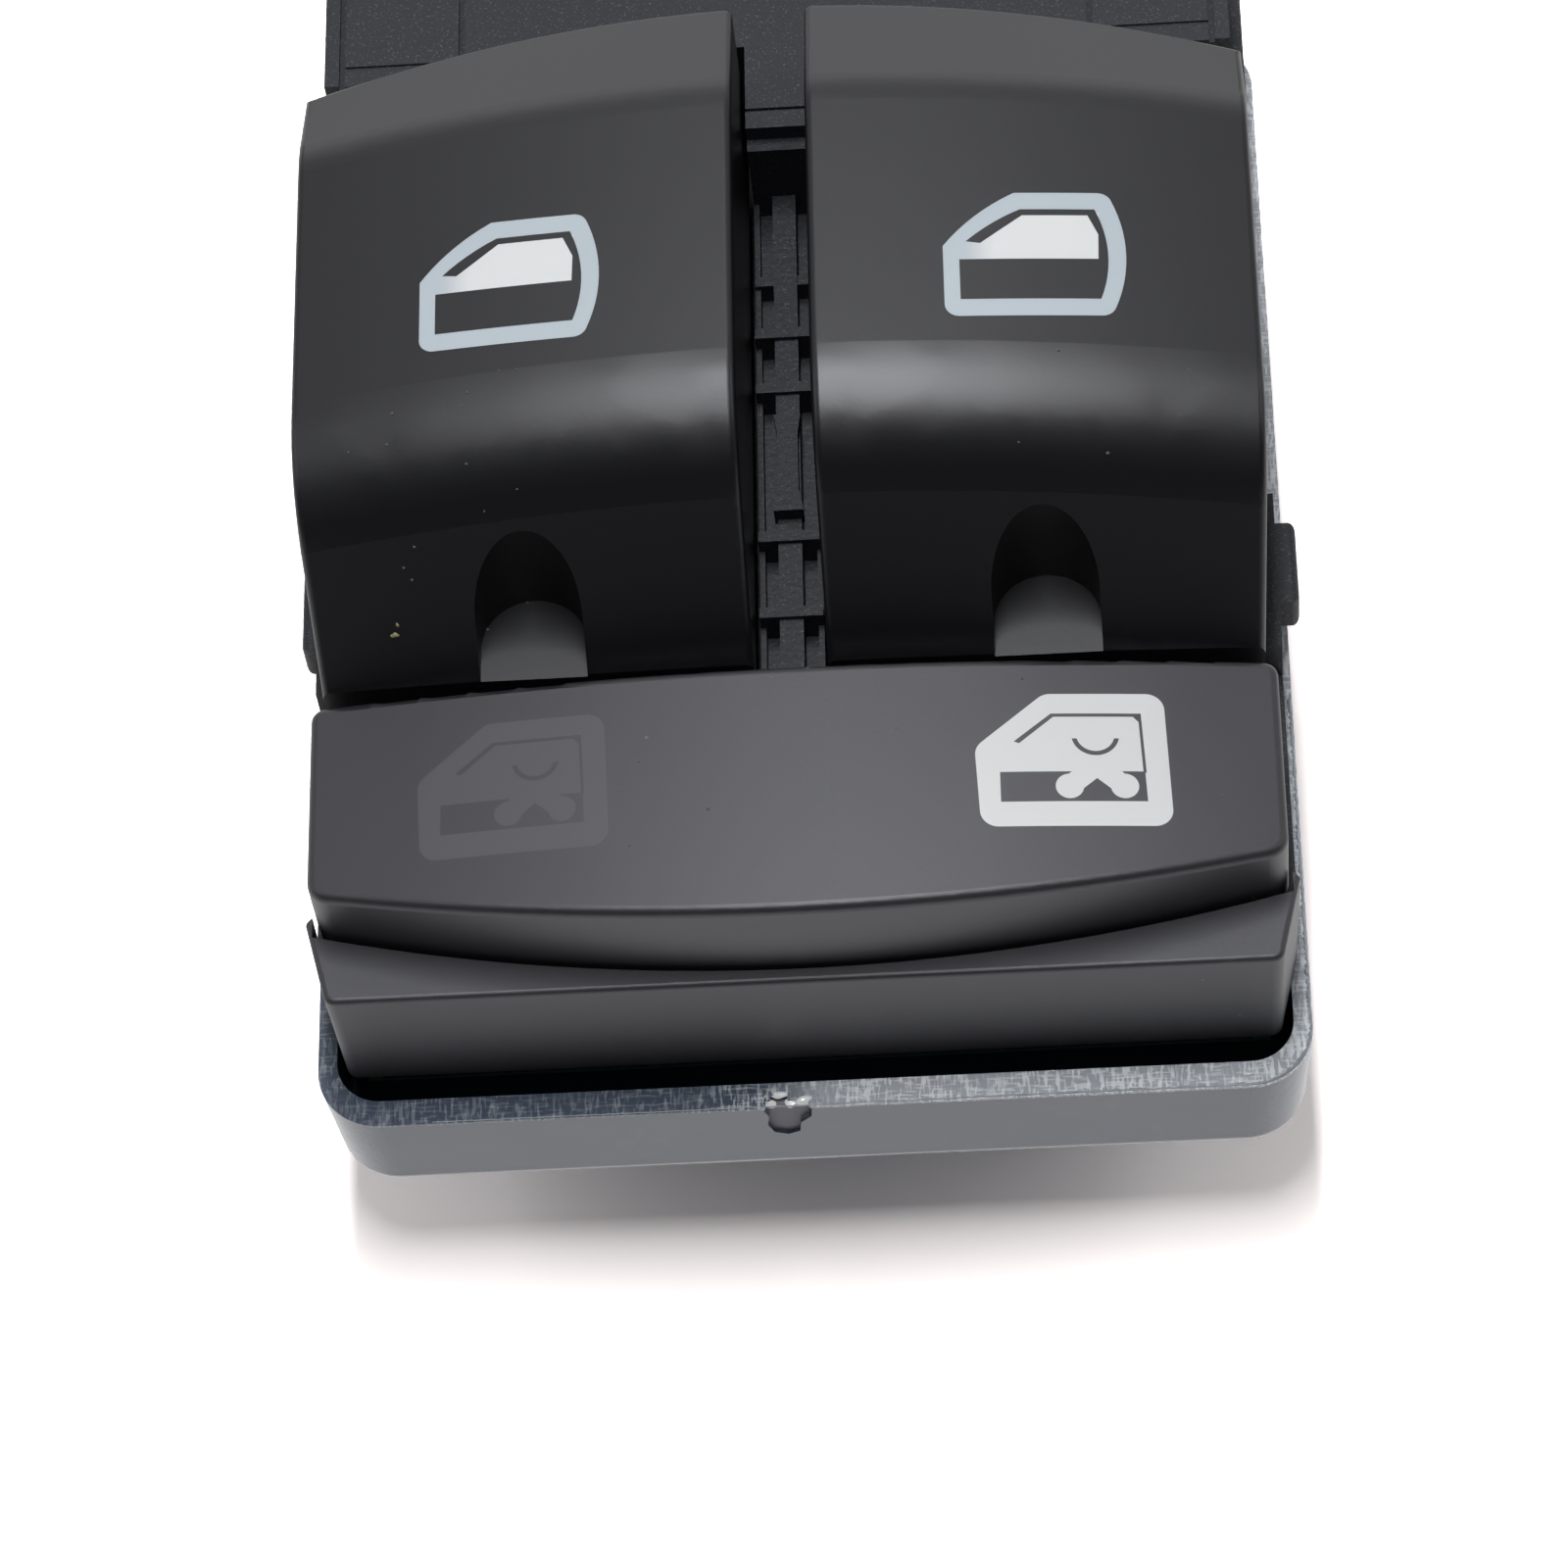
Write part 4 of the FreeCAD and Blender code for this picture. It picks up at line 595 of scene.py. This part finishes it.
@dataclass(frozen=True)
class Solid:
    """Points in millimetres and faces as rows of point numbers."""

    points: np.ndarray
    faces: list[Sequence[int]]

    @staticmethod
    def swept(rings: np.ndarray) -> "Solid":
        """A closed tube.

        Args:
            rings: Points, shaped (sections, points round a section, 3).

        Returns:
            Quads between neighbouring sections, and a cap at each end.
        """
        count, around = rings.shape[:2]
        row = np.arange(count - 1)[:, None] * around
        here = np.arange(around)[None, :]
        after = (here + 1) % around
        quads = np.stack([row + here, row + after, row + after + around, row + here + around], -1)
        ends = [list(range(around))[::-1], list(range((count - 1) * around, count * around))]
        return Solid(rings.reshape(-1, 3), quads.reshape(-1, 4).tolist() + ends)

    @staticmethod
    def lumps(centres: np.ndarray, radii: np.ndarray, seed: int, wobble: float = 0.2,
              around: int = 12, rings: int = 7) -> "Solid":
        """Ellipsoids with an uneven surface.

        A point of a lump is its centre plus its three radii times a unit direction, grown or
        shrunk by the wobble, a sum of three sine waves of the direction.

        Args:
            centres: Centres, shaped (lumps, 3).
            radii: Radii along X, Y and Z, shaped (lumps, 3).
            seed: Seed of the waves.
            wobble: Share by which a lump's radius changes.
            around: Points round each ring.
            rings: Rings between the poles.

        Returns:
            All lumps as one set of closed shells.
        """
        chance = np.random.default_rng(seed)
        u = np.linspace(0, 2 * np.pi, around, endpoint=False)
        v = np.linspace(0, np.pi, rings + 2)[1:-1]
        v, u = np.meshgrid(v, u, indexing="ij")
        ways = np.stack([np.sin(v) * np.cos(u), np.sin(v) * np.sin(u), np.cos(v)], -1)
        ways = np.vstack([[0, 0, 1], ways.reshape(-1, 3), [0, 0, -1]])
        waves = chance.normal(size=(len(centres), 3, 3)) * 2.2
        shift = chance.uniform(0, 2 * np.pi, (len(centres), 1, 3))
        swell = 1 + wobble * np.sin(np.einsum("pk,nkw->npw", ways, waves) + shift).mean(-1)
        points = centres[:, None] + radii[:, None] * ways[None] * swell[..., None]
        here = np.arange(around)
        after = (here + 1) % around
        row = (1 + np.arange(rings - 1) * around)[:, None]
        quads = np.stack([row + here, row + here + around, row + after + around, row + after], -1)
        last = 1 + (rings - 1) * around
        top = np.stack([np.zeros(around, int), 1 + here, 1 + after], -1)
        low = np.stack([np.full(around, last + around), last + after, last + here], -1)
        faces: list[Sequence[int]] = []
        for k in range(len(centres)):
            start = k * len(ways)
            for part in (quads.reshape(-1, 4), top, low):
                faces += (part + start).tolist()
        return Solid(points.reshape(-1, 3), faces)

    @staticmethod
    def joined(parts: Sequence["Solid"]) -> "Solid":
        """Several solids as one, with their point numbers shifted."""
        faces: list[Sequence[int]] = []
        start = 0
        for part in parts:
            faces += [[start + k for k in row] for row in part.faces]
            start += len(part.points)
        return Solid(np.vstack([part.points for part in parts]), faces)

    def place(self, name: str, finish: Plastic, body: str, slot: str) -> bpy.types.Object:
        """Makes the mesh and hands it to a body.

        Args:
            name: Name of the piece.
            finish: Its finish.
            body: The body that it rides.
            slot: Material slot of the record; not used.

        Returns:
            The piece.
        """
        mesh = bpy.data.meshes.new(name)
        mesh.from_pydata((self.points * MM).tolist(), [], self.faces)
        mesh.materials.append(finish.material())
        mesh.polygons.foreach_set("use_smooth", np.ones(len(mesh.polygons), bool))
        mesh.update()
        piece = bpy.data.objects.new(name, mesh)
        bpy.context.scene.collection.objects.link(piece)
        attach(piece, body)
        log.info("made %s, %d faces", name, len(self.faces))
        return piece


DROP_HEIGHT = 0.2  # metres, well above the part


def dropped(node: str, x: np.ndarray, y: np.ndarray) -> np.ndarray:
    """Points where plumb lines from above first meet a CAD node.

    Args:
        node: Name of the node.
        x: X of the lines, in millimetres.
        y: Y of the lines.

    Returns:
        The hit points in millimetres, without the lines that miss.
    """
    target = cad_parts[node]
    back = target.matrix_world.inverted()
    down = (back.to_3x3() @ Vector((0, 0, -1))).normalized()
    found = []
    for a, b in zip(x, y):
        hit, place, _, _ = target.ray_cast(back @ Vector((a * MM, b * MM, DROP_HEIGHT)), down)
        if hit:
            found.append(target.matrix_world @ place / MM)
    return np.array(found).reshape(-1, 3)


# Studio

@dataclass
class Viewpoint:
    """The camera, where the photographer stood."""

    elevation: float = 60.0
    azimuth: float = 6.14
    roll: float = 8.11
    distance: float = 380.0
    focal_px: float = 6356.6
    frame_px: int = 1600
    sensor: float = 36.0
    clip_metres: tuple[float, float] = (0.01, 20.0)
    target: Point = (-0.46, -27.14, 38.8)

    def place(self) -> bpy.types.Object:
        """Makes the camera and hands it to the scene.

        The camera looks back along a ray of the given elevation and azimuth through the
        target, and the image's axes are the level axes turned by the roll.

        Returns:
            The camera object.
        """
        e, a, r = (math.radians(v) for v in (self.elevation, self.azimuth, self.roll))
        back = Vector((math.sin(a) * math.cos(e), -math.cos(a) * math.cos(e), math.sin(e)))
        level = Vector((math.cos(a), math.sin(a), 0.0))
        over = back.cross(level)
        right = math.cos(r) * level - math.sin(r) * over
        up = math.sin(r) * level + math.cos(r) * over
        made = bpy.data.cameras.new("camera")
        made.sensor_width = self.sensor
        made.lens = self.focal_px / self.frame_px * self.sensor
        made.clip_start, made.clip_end = self.clip_metres
        camera = bpy.data.objects.new("camera", made)
        bpy.context.scene.collection.objects.link(camera)
        turn = Matrix((right, up, back)).transposed()
        camera.matrix_world = Matrix.Translation(
            (Vector(self.target) + back * self.distance) * MM) @ turn.to_4x4()
        bpy.context.scene.camera = camera
        return camera


@dataclass(frozen=True)
class Lamp:
    """A rectangular area lamp, in metres and watts, which shines at its aim."""

    name: str
    place: Point
    aim: Point
    width: float
    depth: float
    watts: float

    def hang(self) -> bpy.types.Object:
        """Makes the lamp, unseen by the camera, and turns it to its aim."""
        made = bpy.data.lights.new(self.name, "AREA")
        made.shape = "RECTANGLE"
        made.size, made.size_y, made.energy = self.width, self.depth, self.watts
        lamp = bpy.data.objects.new(self.name, made)
        bpy.context.scene.collection.objects.link(lamp)
        lamp.location = self.place
        way = Vector(self.aim) - Vector(self.place)
        lamp.rotation_euler = way.to_track_quat("-Z", "Y").to_euler()
        lamp.visible_camera = False
        return lamp


@dataclass
class Studio:
    """White table, soft lamps and the surroundings that gloss shows."""

    lamps: Sequence[Lamp] = (
        Lamp("overhead", (0.0, 0.033, 0.62), (0, 0, 0.04), 0.05, 0.405, 2.8),
        Lamp("left", (-0.60, 0.05, 0.45), (0, 0, 0.02), 0.40, 0.40, 0.8),
        Lamp("right", (0.62, 0.10, 0.45), (0, 0, 0.02), 0.40, 0.40, 0.8),
        Lamp("back", (0.0, 0.70, 0.32), (0, 0, 0.03), 0.80, 0.26, 0.9))
    table_reach: float = 3.0
    table_tone: Colour = (0.93, 0.90, 0.885)
    table_seen: Colour = (2.10, 1.98, 1.95)
    table_roughness: float = 0.7
    glow: float = 1.2
    glow_span: tuple[float, float] = (0.10, 0.28)

    def surround(self) -> None:
        """World: white to the camera, and for gloss white behind that fades out in front.

        The white behind grows with how far a direction points away from the viewer, and a
        little with its rise. Light that isn't reflected sees a dimmer one, plus an even level.
        """
        world = bpy.data.worlds.new("surroundings")
        bpy.context.scene.world = world
        world.use_nodes = True
        n = Nodes(world.node_tree)
        back = world.node_tree.nodes["Background"]
        path = n.add("LightPath")
        axes = n.add("SeparateXYZ")
        n.feed(axes.inputs[0], n.add("TexCoord").outputs["Generated"])
        away = n.math("MULTIPLY", axes.outputs["Y"], 0.9)
        slope = n.math("MULTIPLY_ADD", axes.outputs["Z"], 0.15, away)
        behind = n.window(slope, 0.2, 0.95)
        seen = n.math("MAXIMUM", path.outputs["Is Glossy Ray"], path.outputs["Is Transmission Ray"])
        level = n.math("MULTIPLY", behind, n.math("MULTIPLY_ADD", seen, 0.4, 0.3))
        level = n.math("ADD", level, n.math("MULTIPLY_ADD", seen, -0.14, 0.14))
        level = n.math("MAXIMUM", level, path.outputs["Is Camera Ray"])
        n.feed(back.inputs["Strength"], level)
        back.inputs["Color"].default_value = (1.0, 1.0, 1.0, 1.0)

    def table(self) -> None:
        """White table under the part, which keeps its shadow.

        The camera sees its colour lifted to white near the part, and a white glow further out
        than the glow's span. Gloss sees mostly the glow.
        """
        mesh = bpy.data.meshes.new("table")
        corners = [(x * self.table_reach, y * self.table_reach, 0)
                   for x, y in ((-1, -1), (1, -1), (1, 1), (-1, 1))]
        mesh.from_pydata(corners, [], [(0, 1, 2, 3)])
        board = bpy.data.objects.new("table", mesh)
        bpy.context.scene.collection.objects.link(board)
        made = bpy.data.materials.new("white table")
        made.use_nodes = True
        n = Nodes(made.node_tree)
        shader = made.node_tree.nodes["Principled BSDF"]
        path = n.add("LightPath")
        n.feed(shader.inputs["Base Color"],
               n.mix(path.outputs["Is Camera Ray"], self.table_tone, self.table_seen))
        shader.inputs["Roughness"].default_value = self.table_roughness
        glow = n.add("Emission")
        blend = n.add("MixShader")
        span = n.add("VectorMath", operation="LENGTH")
        n.feed(span.inputs[0], n.place)
        away = n.math("MULTIPLY", path.outputs["Is Camera Ray"],
                      n.window(span.outputs["Value"], *self.glow_span))
        n.feed(blend.inputs[0], n.math("MULTIPLY_ADD", path.outputs["Is Glossy Ray"], 0.8, away))
        glow.inputs["Strength"].default_value = self.glow
        n.feed(blend.inputs[1], shader.outputs[0])
        n.feed(blend.inputs[2], glow.outputs[0])
        n.feed(made.node_tree.nodes["Material Output"].inputs[0], blend.outputs[0])
        mesh.materials.append(made)

    def build(self) -> None:
        """Sets up the studio and a plain view of its colours."""
        for lamp in self.lamps:
            lamp.hang()
        self.surround()
        self.table()
        bpy.context.scene.view_settings.view_transform = "Standard"


# Sub-assemblies

@dataclass
class Case:
    """Everything that stays still: tray, cover, housing, bezel, board and contacts."""

    rim_corner: float = 4.0
    burr_start: float = -24.0
    burr_end: float = -12.0
    burr_step: float = 0.16
    burr_height: float = 0.09

    def dress(self) -> None:
        """Finishes every node of the case."""
        dress(["base_tray"], TRAY)
        dress(["bottom_cover", "pin_header"], COVER)
        dress(["upper_housing"], HOUSING)
        dress(["front_bezel"], BEZEL_PAINT_WITH_PAINTED_LIGHT)
        dress(["circuit_board"], LAMINATE)
        dress(["dome_mat"], SILICONE)
        dress(["controller_chip", "chip_parts"], RESIN)
        dress(["lamps"], LAMP)
        dress(["terminal_pins"], TIN)
        dress(["case_screws", "board_screws", "left_pivot_pin", "right_pivot_pin"], STEEL)
        dress(["lock_light_guides", "left_light_guide", "right_light_guide"], CLEAR)

    def burr(self) -> bpy.types.Object:
        """Ragged burr that the file left along the rim's outer edge, front and right.

        The path runs along the front edge, round the right corner and up the side. Its section
        is a low four-sided ridge. Its height and width are seeded random numbers, new at each
        step, and for the height also at every fifth, both times a share that grows with X.

        Returns:
            The piece.
        """
        low, high = (np.array(v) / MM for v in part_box("base_tray"))
        radius = self.rim_corner
        cx, cy = high[0] - radius, low[1] + radius
        front = np.arange(self.burr_start, cx, self.burr_step)
        turn = np.linspace(-np.pi / 2, 0, 40)[1:]
        side = np.arange(cy, self.burr_end, self.burr_step)[1:]
        path = np.vstack([np.stack([front, np.full_like(front, low[1])], -1),
                          np.stack([cx + radius * np.cos(turn), cy + radius * np.sin(turn)], -1),
                          np.stack([np.full_like(side, high[0]), side], -1)])
        inward = np.vstack([np.tile([0.0, 1.0], (len(front), 1)),
                            np.stack([-np.cos(turn), -np.sin(turn)], -1),
                            np.tile([-1.0, 0.0], (len(side), 1))])
        chance = np.random.default_rng(11)
        count = len(path)
        fine = chance.random(count) * 0.6
        rough = fine + np.repeat(chance.random(count // 5 + 1), 5)[:count]
        share = np.clip((path[:, 0] + 6.0) / 36.0, 0.05, 1.0)
        height = 0.012 + self.burr_height * rough * share
        width = 0.10 + 0.22 * chance.random(count) * share
        sunk = 0.02
        base = high[2] - sunk
        edge = 0.04 + 0.04 * chance.random(count)
        flat = np.zeros(count)
        offsets = [(edge, flat), (edge + width, flat),
                   (edge + width * 0.7, sunk + height * 0.8),
                   (edge + width * 0.25, sunk + height)]
        rings = np.stack([np.column_stack([path + inward * reach[:, None], base + rise])
                          for reach, rise in offsets], axis=1)
        return Solid.swept(rings).place("rim_burr", FILINGS, "case", "tray_plastic")

    def beads(self) -> bpy.types.Object:
        """Bright torn beads on the rim above the broken-off patch, as uneven ellipsoids.

        Returns:
            The piece.
        """
        low, high = (np.array(v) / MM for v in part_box("base_tray"))
        places = np.array([(-0.75, 0.55, -0.16), (-1.45, 0.42, -0.26), (-2.75, 0.40, -0.22),
                           (-2.2, 0.95, -0.10), (-3.1, 0.8, -0.12)])
        centres = places + [0.0, low[1], high[2]]
        radii = np.array([(0.62, 0.30, 0.22), (0.42, 0.26, 0.18), (0.36, 0.24, 0.2),
                          (0.55, 0.30, 0.14), (0.3, 0.3, 0.12)])
        beads = Solid.lumps(centres, radii, seed=5, wobble=0.35, around=20, rings=11)
        return beads.place("torn_beads", TORN, "case", "tray_plastic")


@dataclass
class LockButton:
    """The lock-out bar, its stem, its two pictograms and the coils that lift it."""

    wire: float = 0.3       # radius of the springs' wire
    coil: float = 2.3       # radius of the wire's middle line
    turns: float = 6.5
    per_turn: int = 36
    travel: float = 1.2

    def springs(self) -> bpy.types.Object:
        """The two coil springs, with closed end turns.

        The wire's middle line is a circle round the coil's axis whose height grows slowly over
        the first and the last turn and steadily between them. A section is a circle spanned by
        the outward direction and the one square to it and to the line, in the order that turns
        the faces outwards.

        Returns:
            The piece.
        """
        low, high = (np.array(v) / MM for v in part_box("lock_bar_springs"))
        turn = np.linspace(0, self.turns, int(self.turns * self.per_turn))
        angle = turn * 2 * np.pi
        bottom, top = low[2] + self.wire, high[2] - self.wire
        closed = 2.1 * self.wire
        height = np.interp(turn, [0, 1, self.turns - 1, self.turns],
                           [bottom, bottom + closed, top - closed, top])
        out = np.column_stack([np.cos(angle), np.sin(angle), np.zeros_like(angle)])
        line = out * self.coil + height[:, None] * [0, 0, 1]
        ahead = np.gradient(line, axis=0)
        ahead /= np.linalg.norm(ahead, axis=1, keepdims=True)
        across = np.cross(ahead, out)
        around = np.linspace(0, 2 * np.pi, 10, endpoint=False)[None, :, None]
        section = np.cos(around) * out[:, None] + np.sin(around) * across[:, None]
        rings = line[:, None] + self.wire * section
        reach = self.coil + self.wire
        middle = (low[1] + high[1]) / 2
        both = [Solid.swept(rings + [x, middle, 0.0]) for x in (low[0] + reach, high[0] - reach)]
        piece = Solid.joined(both).place("bar_coils", STEEL, "case", "steel")
        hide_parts("lock_bar_springs")
        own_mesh(piece)
        return piece

    def dress(self) -> None:
        """Finishes the bar's nodes."""
        dress(["lock_bar"], BAR_PAINT_WITH_PAINTED_LIGHT)
        dress(["lock_bar_plunger"], WHITE_STEM)
        dress(["lock_symbol_left"], DIM_PRINT)
        dress(["lock_symbol_right"], WHITE_PRINT)

    def flecks(self) -> bpy.types.Object:
        """Dust flecks that lie on the bar.

        Returns:
            The piece.
        """
        chance = np.random.default_rng(31)
        spots = dropped("lock_bar", chance.uniform(-12, 27, 9), chance.uniform(-32, -20, 9))
        size = chance.uniform(0.05, 0.12, (len(spots), 1)) * [1.0, 0.8, 0.5]
        flecks = Solid.lumps(spots, size, seed=32)
        return flecks.place("bar_flecks", FLECK, "lock_button", "bar_paint")


@dataclass
class Rocker:
    """One window rocker with its pictogram and the two plungers it presses."""

    side: str = "left"
    specks: int = 16
    seed: int = 3

    def flecks(self) -> bpy.types.Object:
        """Dust flecks on the near slope, at seeded random places that plumb lines find.

        Returns:
            The piece.
        """
        chance = np.random.default_rng(self.seed)
        sign = -1 if self.side == "left" else 1
        x = sign * (14.0 + 13.0 * chance.beta(1.3, 1.3, self.specks))
        y = chance.uniform(-14.5, -3.0, self.specks)
        spots = dropped(self.side + "_rocker", x, y)
        size = chance.uniform(0.05, 0.13, (len(spots), 1)) * [1.0, 1.0, 0.8]
        flecks = Solid.lumps(spots, size, seed=self.seed + 1)
        return flecks.place(self.side + "_flecks", FLECK, self.side + "_switch", "soft_paint")

    def crumb(self) -> bpy.types.Object:
        """The one larger yellowish crumb beside the niche, as two uneven lumps.

        Returns:
            The piece.
        """
        spots = dropped(self.side + "_rocker", np.array([-24.4, -24.2]), np.array([-15.6, -15.2]))
        size = np.array([(0.24, 0.16, 0.16), (0.1, 0.16, 0.12)])
        crumb = Solid.lumps(spots, size[:len(spots)], seed=8, wobble=0.4)
        return crumb.place(self.side + "_crumb", CRUMB, self.side + "_switch", "soft_paint")

    def dress(self) -> None:
        """Finishes the rocker's nodes."""
        dress([self.side + "_rocker"], SOFT_PAINT)
        dress([self.side + "_near_plunger", self.side + "_far_plunger"], WHITE_STEM)
        name = self.side + "_window_symbol"
        low, high = (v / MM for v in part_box(name))
        dress([name], WindowPrint(
            self.side + " window pictogram", linear("a9b3bb"), roughness=0.4, specular=0.5,
            grain=2600.0, depth=0.004, mottle=0.04, corner=(low.x, low.y),
            extent=(high.x - low.x, high.y - low.y)))


def main() -> None:
    """Builds the studio and every sub-assembly in order."""
    logging.basicConfig(level=logging.INFO, format="%(name)s: %(message)s")
    Viewpoint().place()
    Studio().build()
    case = Case()
    case.dress()
    case.burr()
    case.beads()
    bar = LockButton()
    bar.dress()
    bar.springs()
    bar.flecks()
    left = Rocker("left")
    right = Rocker("right", specks=5, seed=17)
    for rocker in (left, right):
        rocker.dress()
        rocker.flecks()
    left.crumb()


if __name__ == "__main__":
    main()
